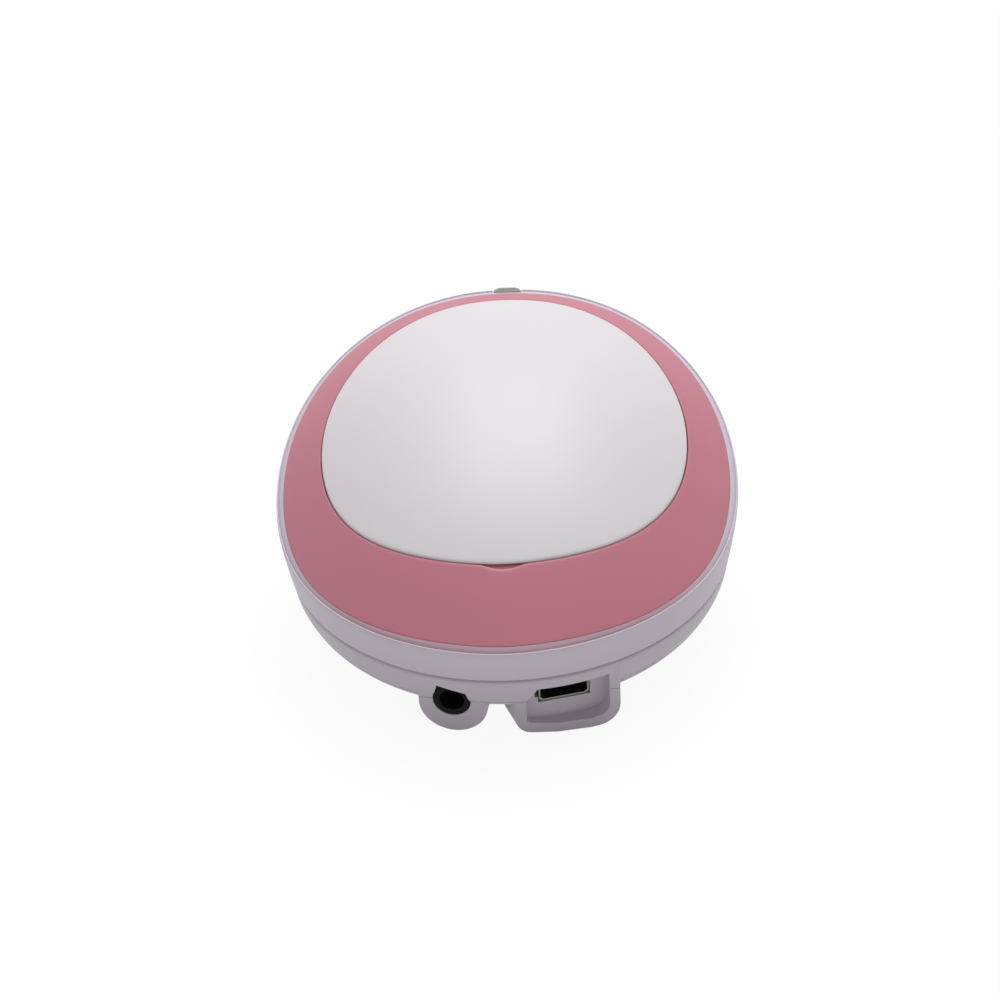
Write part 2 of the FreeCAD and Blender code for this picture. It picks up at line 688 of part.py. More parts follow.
def housing_screw(x, y):
    head_low = HOUSING_HEAD_LEVEL - HOUSING_SCREW_HEAD_HEIGHT
    head = cylinder(HOUSING_SCREW_HEAD, head_low, HOUSING_HEAD_LEVEL - 0.02, x, y)
    tip = HOUSING_HEAD_LEVEL + HOUSING_SCREW_LENGTH
    thread = cylinder(HOUSING_SCREW_THREAD - 0.02, head_low, tip, x, y)
    slot = box((x - 1.3, x + 1.3), (y - 0.25, y + 0.25), (-FAR, head_low + 0.7))
    cross = box((x - 0.25, x + 0.25), (y - 1.3, y + 1.3), (-FAR, head_low + 0.7))
    return head.fuse(thread).cut(slot).cut(cross)


def make_housing_screws():
    return Part.makeCompound([housing_screw(*polar(boss_circle, degrees)) for degrees in BOSS_ANGLES])


# ---- sockets ------------------------------------------------------------------------------------
def make_headphone_jack():
    """A box body with a front collar that fills the port, bored for the plug."""
    width, depth, height = JACK_BODY
    half = width / 2
    face = jack_back + JACK_BARREL_LENGTH
    body = box((-half, half), (-jack_back, -(jack_back - depth)), (JACK_LEVEL - height / 2, JACK_LEVEL + height / 2))
    collar = port_plug(JACK_PORT_GAP, jack_back - 0.1, face)
    bore_end = Vector(0, -(face - JACK_BORE_LENGTH), JACK_LEVEL)
    bore = Part.makeCylinder(JACK_BORE, JACK_BORE_LENGTH, bore_end, Vector(0, -1, 0))
    jack = body.fuse(collar).cut(bore)
    pocket = box((half - 0.9, half + 1), (-(jack_back - 2), -(jack_back - depth) - 2), (JACK_LEVEL - 1, JACK_LEVEL + 1))
    other = pocket.mirror(Vector(0, 0, 0), Vector(1, 0, 0))
    return to_socket(jack.cut(pocket).cut(other), JACK_AZIMUTH)


def make_jack_contacts():
    """Leaf contacts in the two side pockets of the jack's body."""
    width, depth, height = JACK_BODY
    half = width / 2
    along = (-(jack_back - 2.4), -(jack_back - depth) - 2.4)
    leaf = box((half - 0.75, half - 0.45), along, (JACK_LEVEL - 0.8, JACK_LEVEL + 0.8))
    both = Part.makeCompound([leaf, leaf.mirror(Vector(0, 0, 0), Vector(1, 0, 0))])
    return to_socket(both, JACK_AZIMUTH)


def make_usb_shell():
    width, depth, height = USB_SIZE
    rise = USB_CHAMFER - height / 2
    corners = [(-width / 2, height / 2), (-width / 2, rise), (-width / 2 + USB_CHAMFER, -height / 2),
               (width / 2 - USB_CHAMFER, -height / 2), (width / 2, rise), (width / 2, height / 2)]
    inner = [(x * (1 - 2 * USB_WALL / width), z * (1 - 2 * USB_WALL / height)) for x, z in corners]
    outer = front_plate(corners, USB_FACE - depth, USB_FACE)
    hollow = front_plate(inner, USB_FACE - depth + USB_WALL, USB_FACE + 1)
    return to_socket(outer.cut(hollow).translated(Vector(USB_OFFSET, 0, USB_LEVEL)), USB_AZIMUTH)


def make_usb_tongue():
    width, depth, height = USB_SIZE
    span, thick = USB_TONGUE
    back = USB_FACE - depth + USB_WALL + 0.02
    root = box((-span / 2 - 0.4, span / 2 + 0.4), (-back - 0.8, -back), (-0.7, 0.8))
    blade = box((-span / 2, span / 2), (-USB_FACE + 0.7, -back - 0.4), (0.1, 0.1 + thick))
    return to_socket(root.fuse(blade).translated(Vector(USB_OFFSET, 0, USB_LEVEL)), USB_AZIMUTH)


# ---- battery ------------------------------------------------------------------------------------
def make_battery_cell():
    width, length, height = CELL_SIZE
    front = CELL_CENTRE - length / 2
    cell = box((-width / 2, width / 2), (front, front + length), (cell_level, cell_level + height))
    return rounded(cell, edges_along(cell, Vector(0, 1, 0)), CELL_EDGE)


def make_battery_pad():
    width, length, height = CELL_SIZE
    inset = CELL_EDGE
    front = CELL_CENTRE - length / 2
    return box((-width / 2 + inset, width / 2 - inset), (front + inset, front + length - inset),
               (BAY_FLOOR + 0.05, BAY_FLOOR + CELL_PAD))


def lead_slot():
    half = LEAD_SPACING / 2 + LEAD_RADIUS + LEAD_SLOT_GAP
    deep = LEAD_RADIUS + LEAD_SLOT_GAP
    return box((LEAD_SIDE - half, LEAD_SIDE + half), (lead_row - deep, lead_row + deep),
               (BAY_FLOOR - BAY_WALL - 1, BAY_FLOOR + 0.5))


def battery_lead(x):
    """Straight out of the cell, one bend, and straight down to the plug."""
    start = lead_row + LEAD_REACH - 0.05
    level = cell_level + CELL_SIZE[2] / 2
    y = lead_row
    plug_top = BOARD_TOP + 4.6
    bend_start = Vector(x, y + LEAD_BEND, level)
    bend_end = Vector(x, y, level - LEAD_BEND)
    bend_middle = Vector(x, y + LEAD_BEND * (1 - math.sin(math.pi / 4)), level - LEAD_BEND * (1 - math.cos(math.pi / 4)))
    first = Part.makeLine(Vector(x, start, level), bend_start)
    turn = Part.Arc(bend_start, bend_middle, bend_end).toShape()
    last = Part.makeLine(bend_end, Vector(x, y, plug_top))
    path = Part.Wire([first, turn, last])
    section = Part.Wire(Part.makeCircle(LEAD_RADIUS, Vector(x, start, level), Vector(0, 1, 0)))
    return path.makePipeShell([section], True, False)


def make_battery_leads():
    half = LEAD_SPACING / 2
    return Part.makeCompound([battery_lead(LEAD_SIDE - half), battery_lead(LEAD_SIDE + half)])


def make_battery_plug():
    low = BOARD_TOP + 1.0
    half = LEAD_SPACING / 2 + 1.2
    return box((LEAD_SIDE - half, LEAD_SIDE + half), (lead_row - 1.4, lead_row + 1.4), (low, BOARD_TOP + 4.58))


def make_battery_socket():
    half = LEAD_SPACING / 2 + 2.0
    body = box((LEAD_SIDE - half, LEAD_SIDE + half), (lead_row - 2.2, lead_row + 2.2),
               (BOARD_TOP + 0.02, BOARD_TOP + 3.6))
    room = LEAD_SPACING / 2 + 1.25
    hollow = box((LEAD_SIDE - room, LEAD_SIDE + room), (lead_row - 1.45, lead_row + 1.45), (BOARD_TOP + 0.95, FAR))
    return body.cut(hollow)


# ---- power button and its switch ----------------------------------------------------------------
def make_power_button():
    half = BUTTON_WIDTH / 2
    top = top_height(0, (button_face + button_head_back) / 2) + 0.1
    head = box((-half, half), (button_head_back, button_face), (BUTTON_BOTTOM, top))
    outer = [e for e in head.Edges if e.CenterOfMass.y > button_face - 0.01]
    upright = edges_along(head, Vector(0, 0, 1))
    head = rounded(head, [e for e in upright if e.CenterOfMass.y > button_face - 0.01], BUTTON_EDGE * 2)
    outer = [e for e in head.Edges if e.CenterOfMass.z > top - 0.01]
    head = rounded(head, outer, BUTTON_EDGE)
    neck = box((-half, half), (flange_face - 0.1, button_head_back + 0.1), (BUTTON_BOTTOM, BUTTON_NECK_TOP))
    flange = box((-half - 0.9, half + 0.9), (flange_back, flange_face), (BUTTON_BOTTOM - 0.6, BUTTON_NECK_TOP - 0.2))
    return head.fuse(neck).fuse(flange).removeSplitter()


def make_tact_switch():
    width, depth, height = SWITCH_SIZE
    body = box((-width / 2, width / 2), (switch_board_face, switch_face),
               (SWITCH_LEVEL - height / 2, SWITCH_LEVEL + height / 2))
    hole = Part.makeCylinder(PLUNGER_RADIUS + PLUNGER_GAP, depth - 0.3, Vector(0, switch_board_face + 0.3, SWITCH_LEVEL),
                             Vector(0, 1, 0))
    return body.cut(hole)


def make_switch_plunger():
    start = switch_board_face + 0.3 + BUTTON_TRAVEL + 0.2
    length = flange_back - 0.02 - start
    return Part.makeCylinder(PLUNGER_RADIUS, length, Vector(0, start, SWITCH_LEVEL), Vector(0, 1, 0))


def make_switch_board():
    width, depth, height = SWITCH_BOARD
    low = SWITCH_LEVEL - height / 2
    return box((-width / 2, width / 2), (switch_board_face - depth, switch_board_face - 0.02), (low, low + height))


def make_switch_ribbon():
    """A flat flexible ribbon from the switch board, down behind the bay, to the circuit board."""
    thick = 0.3
    half = 2.5
    back = switch_board_face - SWITCH_BOARD[1] - 0.05
    low = BOARD_TOP + 0.6
    bend = 2.0
    end = BOARD_RADIUS - 4.0
    high = SWITCH_LEVEL - SWITCH_BOARD[2] / 2 + 3.0
    outer_arc = Part.Arc(Vector(0, back, low + bend), Vector(0, back - bend * (1 - math.cos(math.pi / 4)),
                                                            low + bend * (1 - math.sin(math.pi / 4))),
                         Vector(0, back - bend, low))
    inner = bend - thick
    inner_arc = Part.Arc(Vector(0, back - bend, low + thick),
                         Vector(0, back - bend + inner * math.sin(math.pi / 4), low + bend - inner * math.cos(math.pi / 4)),
                         Vector(0, back - thick, low + bend))
    edges = [Part.makeLine(Vector(0, back, high), Vector(0, back, low + bend)), outer_arc.toShape(),
             Part.makeLine(Vector(0, back - bend, low), Vector(0, end, low)),
             Part.makeLine(Vector(0, end, low), Vector(0, end, low + thick)),
             Part.makeLine(Vector(0, end, low + thick), Vector(0, back - bend, low + thick)), inner_arc.toShape(),
             Part.makeLine(Vector(0, back - thick, low + bend), Vector(0, back - thick, high)),
             Part.makeLine(Vector(0, back - thick, high), Vector(0, back, high))]
    strip = Part.Face(Part.Wire(edges)).extrude(Vector(2 * half, 0, 0))
    return strip.translated(Vector(-half, 0, 0))


def make_ribbon_socket():
    end = BOARD_RADIUS - 4.0
    body = box((-3.6, 3.6), (end - 1.6, end + 1.4), (BOARD_TOP + 0.02, BOARD_TOP + 1.6))
    return body.cut(box((-2.6, 2.6), (end - 0.1, FAR), (BOARD_TOP + 0.5, BOARD_TOP + 1.0)))


PIECES = {
    "dome_cover": make_dome_cover,
    "accent_ring": make_accent_ring,
    "upper_shell": make_upper_shell,
    "lower_shell": make_lower_shell,
    "probe_housing": make_probe_housing,
    "probe_face": make_probe_face,
    "probe_gasket": make_probe_gasket,
    "transmit_crystal": lambda: half_crystal(-1),
    "receive_crystal": lambda: half_crystal(1),
    "crystal_divider": make_crystal_divider,
    "backing_pad": make_backing_pad,
    "shield_can": make_shield_can,
    "transducer_leads": make_transducer_leads,
    "main_board": make_main_board,
    "controller_chip": lambda: chip(CONTROLLER_PLACE, CONTROLLER_SIZE),
    "amplifier_chip": lambda: chip(AMPLIFIER_PLACE, AMPLIFIER_SIZE),
    "charger_chip": lambda: chip(CHARGER_PLACE, CHARGER_SIZE),
    "crystal_can": make_crystal_can,
    "capacitors": make_capacitors,
    "power_inductor": make_power_inductor,
    "board_screws": make_board_screws,
    "housing_screws": make_housing_screws,
    "headphone_jack": make_headphone_jack,
    "jack_contacts": make_jack_contacts,
    "usb_shell": make_usb_shell,
    "usb_tongue": make_usb_tongue,
    "battery_cell": make_battery_cell,
    "battery_pad": make_battery_pad,
    "battery_leads": make_battery_leads,
    "battery_plug": make_battery_plug,
    "battery_socket": make_battery_socket,
    "power_button": make_power_button,
    "tact_switch": make_tact_switch,
    "switch_plunger": make_switch_plunger,
    "switch_board": make_switch_board,
    "switch_ribbon": make_switch_ribbon,
    "ribbon_socket": make_ribbon_socket,
}

os.makedirs("parts", exist_ok=True)
for node, make in PIECES.items():
    shape = make().translated(FRAME_SHIFT)
    shape.exportStep("parts/" + node + ".step")
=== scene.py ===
import bmesh
import bpy
import json
import math
from mathutils import Matrix, Vector


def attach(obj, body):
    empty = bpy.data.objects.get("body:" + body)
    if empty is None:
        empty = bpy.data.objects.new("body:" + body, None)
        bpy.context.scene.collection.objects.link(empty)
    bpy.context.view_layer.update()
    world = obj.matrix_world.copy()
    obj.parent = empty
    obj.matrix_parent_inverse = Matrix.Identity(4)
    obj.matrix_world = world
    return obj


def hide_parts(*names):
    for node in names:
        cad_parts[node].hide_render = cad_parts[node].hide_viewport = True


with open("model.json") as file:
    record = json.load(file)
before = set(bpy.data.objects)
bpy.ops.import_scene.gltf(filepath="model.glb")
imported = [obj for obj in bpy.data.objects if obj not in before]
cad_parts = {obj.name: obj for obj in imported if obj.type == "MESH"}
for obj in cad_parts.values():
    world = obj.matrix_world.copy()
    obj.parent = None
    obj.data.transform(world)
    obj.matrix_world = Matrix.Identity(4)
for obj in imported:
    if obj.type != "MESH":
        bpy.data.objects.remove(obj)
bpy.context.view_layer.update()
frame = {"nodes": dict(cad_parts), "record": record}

# Sizes in millimetres. Heights are above the seam between the two shells.
SEAM_HEIGHT = 15.0
FRAME_SHIFT_Y = -1.01
SEAM_GAP = 0.3
SHELL_WALL = 1.6
SHUT_GAP = 0.15

# ---- the body's form ----------------------------------------------------------------------------
CREST = [(-34.9, 6.8), (-26.8, 15.3), (-12.0, 24.9), (3.0, 29.2), (19.0, 28.1), (31.0, 24.75), (34.4, 23.6)]
SIDE_DROP = 17.9
SIDE_REACH = 33.85
SIDE_POWER = 2.25
DROP_FRONT_GAIN = 0.36
DROP_END_GAIN = 0.12
SEAM_RADIUS = 33.4
RING_PLAN = (34.45, 33.3, 35.1, 2, 2)
DOME_PLAN = (26.4, 26.95, 30.1, 6, 4)
WALL_LEVELS = (0.0, 6.0, 13.0, 27.0)
WALL_FRONT = (SEAM_RADIUS, 35.39, 36.55, 37.2)
WALL_SIDE = (SEAM_RADIUS, 34.31, 34.75, 34.85)
WALL_REAR = (SEAM_RADIUS, 34.8, 36.0, 36.9)
LEDGE_DROP = 0.12
BEAD_RISE = 0.42
BEAD_WIDTH = 0.36
RIM_GROOVE_DEPTH = 0.4
RING_WALL = 1.7
RING_ROLL = 0.07
RING_GAP = 0.04
DECK_DROP = 1.8
DECK_WALL = 1.5
DOME_WALL = 1.5
SKIRT_INSET = 2.5
SKIRT_WALL = 1.2
SKIRT_DEPTH = 2.0
BAY_OPENING = 2.2
BAY_FLOOR = 7.0
BAY_WALL = 1.2
NOTCH_HALF = 3.3
NOTCH_SIDE = 0.35
NOTCH_UNDERCUT = 1.1
NOTCH_SHELF = 0.8
NOTCH_REACH = 0.55
NOTCH_DEPTH = 0.75
BOWL_FRONT = [(33.25, -0.15), (33.05, -2.0), (32.4, -4.0), (31.4, -5.6), (29.6, -7.05), (27.0, -8.4), (24.0, -9.6),
              (20.5, -10.6)]
BOWL_SIDE = [(33.25, -0.15), (33.05, -2.0), (32.4, -4.0), (31.32, -5.9), (29.6, -7.5), (27.0, -8.8), (24.0, -9.8),
             (20.5, -10.6)]
BOWL_FADE = (10.0, 28.0)
PROBE_RADIUS = 16.5
PROBE_FOOT = 15.3
PROBE_WALL = 1.6
WINDOW_RADIUS = 13.0
TURNS = 300


def spline_through(points):
    """A natural cubic spline through (place, height) points."""
    count = len(points) - 1
    xs = [p[0] for p in points]
    zs = [p[1] for p in points]
    step = [xs[i + 1] - xs[i] for i in range(count)]
    bend = [0.0] * (count + 1)
    upper = [0.0] * (count + 1)
    for i in range(1, count):
        change = (zs[i + 1] - zs[i]) / step[i] - (zs[i] - zs[i - 1]) / step[i - 1]
        pivot = 2 * (step[i - 1] + step[i]) - step[i - 1] * upper[i - 1]
        upper[i] = step[i] / pivot
        bend[i] = (6 * change - step[i - 1] * bend[i - 1]) / pivot
    for i in range(count - 1, 0, -1):
        bend[i] -= upper[i] * bend[i + 1]

    def value(x):
        i = max(k for k in range(count) if k == 0 or xs[k] <= x)
        a, b = xs[i + 1] - x, x - xs[i]
        curve = (bend[i] * a ** 3 + bend[i + 1] * b ** 3) / (6 * step[i])
        return curve + (zs[i] / step[i] - bend[i] * step[i] / 6) * a + (zs[i + 1] / step[i] - bend[i + 1] * step[i] / 6) * b

    return value


crest = spline_through(CREST)
wall_front = spline_through(list(zip(WALL_LEVELS, WALL_FRONT)))
wall_side = spline_through(list(zip(WALL_LEVELS, WALL_SIDE)))
wall_rear = spline_through(list(zip(WALL_LEVELS, WALL_REAR)))


def top(x, y):
    """Height of the outer top surface."""
    u = y / SEAM_RADIUS
    gain = 1 - DROP_FRONT_GAIN * u + DROP_END_GAIN * u * u
    return crest(y) - SIDE_DROP * gain * (abs(x) / SIDE_REACH) ** SIDE_POWER


def outline(plan, angle):
    """Reach of an outline at an angle from the front."""
    front, side, rear, front_power, rear_power = plan
    c = math.cos(angle)
    if c > 0:
        return side + (front - side) * c ** front_power
    return side + (rear - side) * (-c) ** rear_power


def wall(angle, z):
    """Reach of the shell's outer wall at a height."""
    return outline((wall_front(z), wall_side(z), wall_rear(z), 4, 2), angle)


def top_at(angle, reach):
    return top(reach * math.sin(angle), -reach * math.cos(angle))


def rim_height(angle):
    """Height of the bead that runs round the top of the wall."""
    z = 10.0
    for _ in range(40):
        z += 0.5 * (top_at(angle, wall(angle, z)) + BEAD_RISE - z)
    return z


def front_share(angle):
    """One at the front, fading to nothing towards the sides."""
    share = min(1.0, max(0.0, (84 - abs(math.degrees(angle))) / 60))
    return share * share * (3 - 2 * share)


def spot(angle, reach, z):
    """A point of the body in metres, in the row's frame."""
    x, y = reach * math.sin(angle), -reach * math.cos(angle)
    return Vector((x, y + FRAME_SHIFT_Y, z + SEAM_HEIGHT)) / 1000


# ---- making pieces ------------------------------------------------------------------------------
def finished(name, mesh_maker, body, stands_for, finish, sharp=32):
    """Turn a bmesh into a piece that rides on a body, in place of its CAD node."""
    mesh = bpy.data.meshes.new(name)
    mesh_maker.normal_update()
    mesh_maker.to_mesh(mesh)
    mesh_maker.free()
    piece = bpy.data.objects.new(name, mesh)
    bpy.context.scene.collection.objects.link(piece)
    mesh.materials.append(finish)
    soften(piece, sharp)
    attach(piece, body)
    if stands_for:
        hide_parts(stands_for)
    return piece


def soften(piece, sharp):
    piece.data.polygons.foreach_set("use_smooth", [True] * len(piece.data.polygons))
    piece.data.set_sharp_from_angle(angle=math.radians(sharp))


def turned(stations, place, closed=False, turns=TURNS):
    """Spin a row of stations round the axis, then settle each vertex on the body's form."""
    form = bmesh.new()
    row = [form.verts.new((k + 1, 0, 0)) for k in range(stations)]
    edges = [form.edges.new(pair) for pair in zip(row, row[1:])]
    if closed:
        edges.append(form.edges.new((row[-1], row[0])))
    bmesh.ops.spin(form, geom=row + edges, cent=(0, 0, 0), axis=(0, 0, 1), angle=2 * math.pi, steps=turns,
                   use_merge=True, use_duplicate=False)
    for vertex in form.verts:
        station = round(vertex.co.length) - 1
        vertex.co = place(station, math.atan2(vertex.co.x, -vertex.co.y))
    bmesh.ops.remove_doubles(form, verts=form.verts, dist=2e-6)
    bmesh.ops.recalc_face_normals(form, faces=form.faces)
    return form


def carve(piece, tool_form, operation="DIFFERENCE"):
    """Cut a tool out of a piece, or join it on, and leave plain mesh."""
    mesh = bpy.data.meshes.new("tool")
    tool_form.to_mesh(mesh)
    tool_form.free()
    tool = bpy.data.objects.new("tool", mesh)
    bpy.context.scene.collection.objects.link(tool)
    cut = piece.modifiers.new("cut", "BOOLEAN")
    cut.operation = operation
    cut.solver = "EXACT"
    cut.object = tool
    bpy.context.view_layer.update()
    graph = bpy.context.evaluated_depsgraph_get()
    made = bpy.data.meshes.new_from_object(piece.evaluated_get(graph))
    piece.modifiers.clear()
    piece.data = made
    bpy.data.objects.remove(tool)


def block(low, high, bevel=0.0, segments=3):
    """A box in millimetres from corner to corner, seam-relative, with rounded edges."""
    form = bmesh.new()
    bmesh.ops.create_cube(form, size=1)
    size = Vector(high) - Vector(low)
    middle = (Vector(high) + Vector(low)) / 2
    bmesh.ops.scale(form, vec=size, verts=form.verts)
    bmesh.ops.translate(form, vec=middle, verts=form.verts)
    if bevel:
        bmesh.ops.bevel(form, geom=form.edges, offset=bevel, segments=segments, profile=0.5, affect="EDGES", material=-1)
    return form


def settle(form, azimuth=0.0):
    """Turn a form towards a socket's azimuth and move it from millimetres at the seam to the row's frame."""
    bmesh.ops.rotate(form, cent=(0, 0, 0), matrix=Matrix.Rotation(math.radians(azimuth), 3, "Z"), verts=form.verts)
    bmesh.ops.translate(form, vec=(0, FRAME_SHIFT_Y, SEAM_HEIGHT), verts=form.verts)
    bmesh.ops.scale(form, vec=(0.001, 0.001, 0.001), verts=form.verts)
    return form


def standing_plate(corners, near, far, corner_bevel=(), edge=0.0):
    """A plate from (x, z) corners, standing between two distances in front of the centre."""
    form = bmesh.new()
    face = form.faces.new([form.verts.new((x, -near, z)) for x, z in corners])
    made = bmesh.ops.extrude_face_region(form, geom=[face])
    moved = [g for g in made["geom"] if isinstance(g, bmesh.types.BMVert)]
    bmesh.ops.translate(form, vec=(0, near - far, 0), verts=moved)
    bmesh.ops.recalc_face_normals(form, faces=form.faces)
    for index, radius in corner_bevel:
        x, z = corners[index]
        rail = [e for e in form.edges if all(abs(v.co.x - x) < 1e-4 and abs(v.co.z - z) < 1e-4 for v in e.verts)]
        bmesh.ops.bevel(form, geom=rail, offset=radius, segments=8, profile=0.5, affect="EDGES", material=-1)
    if edge:
        lip = [e for e in form.edges if all(abs(v.co.y + far) < 1e-4 for v in e.verts)]
        bmesh.ops.bevel(form, geom=lip, offset=edge, segments=3, profile=0.5, affect="EDGES", material=-1)
    return form


def rod(radius, near, far, x=0.0, z=0.0, segments=64):
    """A cylinder along the front direction between two distances from the centre."""
    form = bmesh.new()
    bmesh.ops.create_cone(form, cap_ends=True, segments=segments, radius1=radius, radius2=radius, depth=far - near)
    bmesh.ops.rotate(form, cent=(0, 0, 0), matrix=Matrix.Rotation(math.pi / 2, 3, "X"), verts=form.verts)
    bmesh.ops.translate(form, vec=(x, -(near + far) / 2, z), verts=form.verts)
    return form


def lathe(profile, turns=128, closed=True):
    """A solid of revolution about the body's axis from (radius, height) corners."""
    def place(station, angle):
        reach, z = profile[station]
        return spot(angle, reach, z)
    return turned(len(profile), place, closed, turns)


# ---- finishes -----------------------------------------------------------------------------------
node_slot = {s["node"]: s["material_slot"] for s in frame["record"]["subparts"]}


def cloud(nodes, links, place, scale, detail):
    noise = nodes.new("ShaderNodeTexNoise")
    noise.inputs["Scale"].default_value = scale
    noise.inputs["Detail"].default_value = detail
    links.new(place, noise.inputs["Vector"])
    return noise.outputs["Fac"]


def arithmetic(nodes, links, operation, *terms):
    node = nodes.new("ShaderNodeMath")
    node.operation = operation
    for socket, term in zip(node.inputs, terms):
        if isinstance(term, (int, float)):
            socket.default_value = term
        else:
            links.new(term, socket)
    return node.outputs[0]


def surface_detail():
    """The slight unevenness of a real surface: cloudy tone, patchy gloss and a fine grain."""
    group = bpy.data.node_groups.new("surface_detail", "ShaderNodeTree")
    wanted = (("Color", "NodeSocketColor", (0.5, 0.5, 0.5, 1)), ("Roughness", "NodeSocketFloat", 0.4),
              ("Mottle", "NodeSocketFloat", 0.03), ("Patchy Gloss", "NodeSocketFloat", 0.08),
              ("Grain", "NodeSocketFloat", 0.1), ("Grain Scale", "NodeSocketFloat", 3000.0),
              ("Stretch", "NodeSocketVector", (1, 1, 1)))
    for name, kind, start in wanted:
        group.interface.new_socket(name, in_out="INPUT", socket_type=kind).default_value = start
    for name, kind in (("Color", "NodeSocketColor"), ("Roughness", "NodeSocketFloat"), ("Normal", "NodeSocketVector")):
        group.interface.new_socket(name, in_out="OUTPUT", socket_type=kind)
    nodes, links = group.nodes, group.links
    given, made = nodes.new("NodeGroupInput"), nodes.new("NodeGroupOutput")
    place = nodes.new("ShaderNodeTexCoord").outputs["Object"]
    broad = arithmetic(nodes, links, "SUBTRACT", cloud(nodes, links, place, 70.0, 3.0), 0.5)
    tone = arithmetic(nodes, links, "MULTIPLY_ADD", broad, given.outputs["Mottle"], 1.0)
    tinted = nodes.new("ShaderNodeVectorMath")
    tinted.operation = "SCALE"
    links.new(given.outputs["Color"], tinted.inputs[0])
    links.new(tone, tinted.inputs["Scale"])
    links.new(tinted.outputs["Vector"], made.inputs["Color"])
    patches = arithmetic(nodes, links, "SUBTRACT", cloud(nodes, links, place, 260.0, 4.0), 0.5)
    gloss = arithmetic(nodes, links, "MULTIPLY_ADD", patches, given.outputs["Patchy Gloss"], given.outputs["Roughness"])
    links.new(gloss, made.inputs["Roughness"])
    pulled = nodes.new("ShaderNodeVectorMath")
    pulled.operation = "MULTIPLY"
    links.new(place, pulled.inputs[0])
    links.new(given.outputs["Stretch"], pulled.inputs[1])
    grain = nodes.new("ShaderNodeTexNoise")
    grain.inputs["Detail"].default_value = 2.0
    links.new(pulled.outputs["Vector"], grain.inputs["Vector"])
    links.new(given.outputs["Grain Scale"], grain.inputs["Scale"])
    bump = nodes.new("ShaderNodeBump")
    bump.inputs["Distance"].default_value = 0.00003
    links.new(given.outputs["Grain"], bump.inputs["Strength"])
    links.new(grain.outputs["Fac"], bump.inputs["Height"])
    links.new(bump.outputs["Normal"], made.inputs["Normal"])
    return group


DETAIL = surface_detail()
PLASTIC = dict(mottle=0.03, patchy=0.08, grain=0.12, scale=2600.0)
METAL = dict(mottle=0.05, patchy=0.14, grain=0.2, scale=2200.0, stretch=(1, 1, 14))
RUBBER = dict(mottle=0.25, patchy=0.15, grain=0.35, scale=1800.0)


def finish(name, color, roughness=0.4, metallic=0.0, specular=0.5, mottle=0.03, patchy=0.08, grain=0.12, scale=2600.0, stretch=(1, 1, 1)):
    made = bpy.data.materials.new(name)
    made.use_nodes = True
    nodes, links = made.node_tree.nodes, made.node_tree.links
    surface = nodes["Principled BSDF"]
    surface.inputs["Metallic"].default_value = metallic
    surface.inputs["Specular IOR Level"].default_value = specular
    detail = nodes.new("ShaderNodeGroup")
    detail.node_tree = DETAIL
    settings = {"Color": (*color, 1), "Roughness": roughness, "Mottle": mottle, "Patchy Gloss": patchy, "Grain": grain,
                "Grain Scale": scale, "Stretch": stretch}
    for socket, value in settings.items():
        detail.inputs[socket].default_value = value
    links.new(detail.outputs["Color"], surface.inputs["Base Color"])
    links.new(detail.outputs["Roughness"], surface.inputs["Roughness"])
    links.new(detail.outputs["Normal"], surface.inputs["Normal"])
    return made


def circuit_finish(name):
    """Green solder mask over copper tracks, with tinned holes."""
    made = finish(name, (0.01, 0.13, 0.05), 0.35, patchy=0.12)
    nodes, links = made.node_tree.nodes, made.node_tree.links
    surface = nodes["Principled BSDF"]
    detail = next(node for node in nodes if node.type == "GROUP")
    place = nodes.new("ShaderNodeTexCoord")
    tracks = nodes.new("ShaderNodeTexBrick")
    tracks.inputs["Color1"].default_value = (0.008, 0.105, 0.04, 1)
    tracks.inputs["Color2"].default_value = (0.010, 0.125, 0.05, 1)
    tracks.inputs["Mortar"].default_value = (0.025, 0.24, 0.10, 1)
    for socket, value in (("Scale", 1.0), ("Mortar Size", 0.00012), ("Brick Width", 0.0047), ("Row Height", 0.0013)):
        tracks.inputs[socket].default_value = value
    holes = nodes.new("ShaderNodeTexVoronoi")
    holes.inputs["Scale"].default_value = 260.0
    links.new(place.outputs["Object"], tracks.inputs["Vector"])
    links.new(place.outputs["Object"], holes.inputs["Vector"])
    tinned_hole = arithmetic(nodes, links, "LESS_THAN", holes.outputs["Distance"], 0.085)
    mix = nodes.new("ShaderNodeMix")
    mix.data_type = "RGBA"
    links.new(tinned_hole, mix.inputs["Factor"])
    links.new(tracks.outputs["Color"], mix.inputs["A"])
    mix.inputs["B"].default_value = (0.6, 0.6, 0.57, 1)
    links.new(mix.outputs["Result"], detail.inputs["Color"])
    links.new(tinned_hole, surface.inputs["Metallic"])
    return made


def painted_reflection_finish(name, front_color, rear_color):
    """Painted reflection and shade: one colour at the front of the object that fades into another towards its sides."""
    made = finish(name, front_color, 0.48, **PLASTIC)
    nodes, links = made.node_tree.nodes, made.node_tree.links
    detail = next(node for node in nodes if node.type == "GROUP")
    place, apart = nodes.new("ShaderNodeTexCoord"), nodes.new("ShaderNodeSeparateXYZ")
    fade = nodes.new("ShaderNodeMapRange")
    fade.inputs["From Min"].default_value, fade.inputs["From Max"].default_value = -0.027, -0.008
    mix = nodes.new("ShaderNodeMix")
    mix.data_type = "RGBA"
    mix.inputs["A"].default_value, mix.inputs["B"].default_value = (*front_color, 1), (*rear_color, 1)
    links.new(place.outputs["Object"], apart.inputs["Vector"])
    links.new(apart.outputs["Y"], fade.inputs["Value"])
    links.new(fade.outputs["Result"], mix.inputs["Factor"])
    links.new(mix.outputs["Result"], detail.inputs["Color"])
    return made


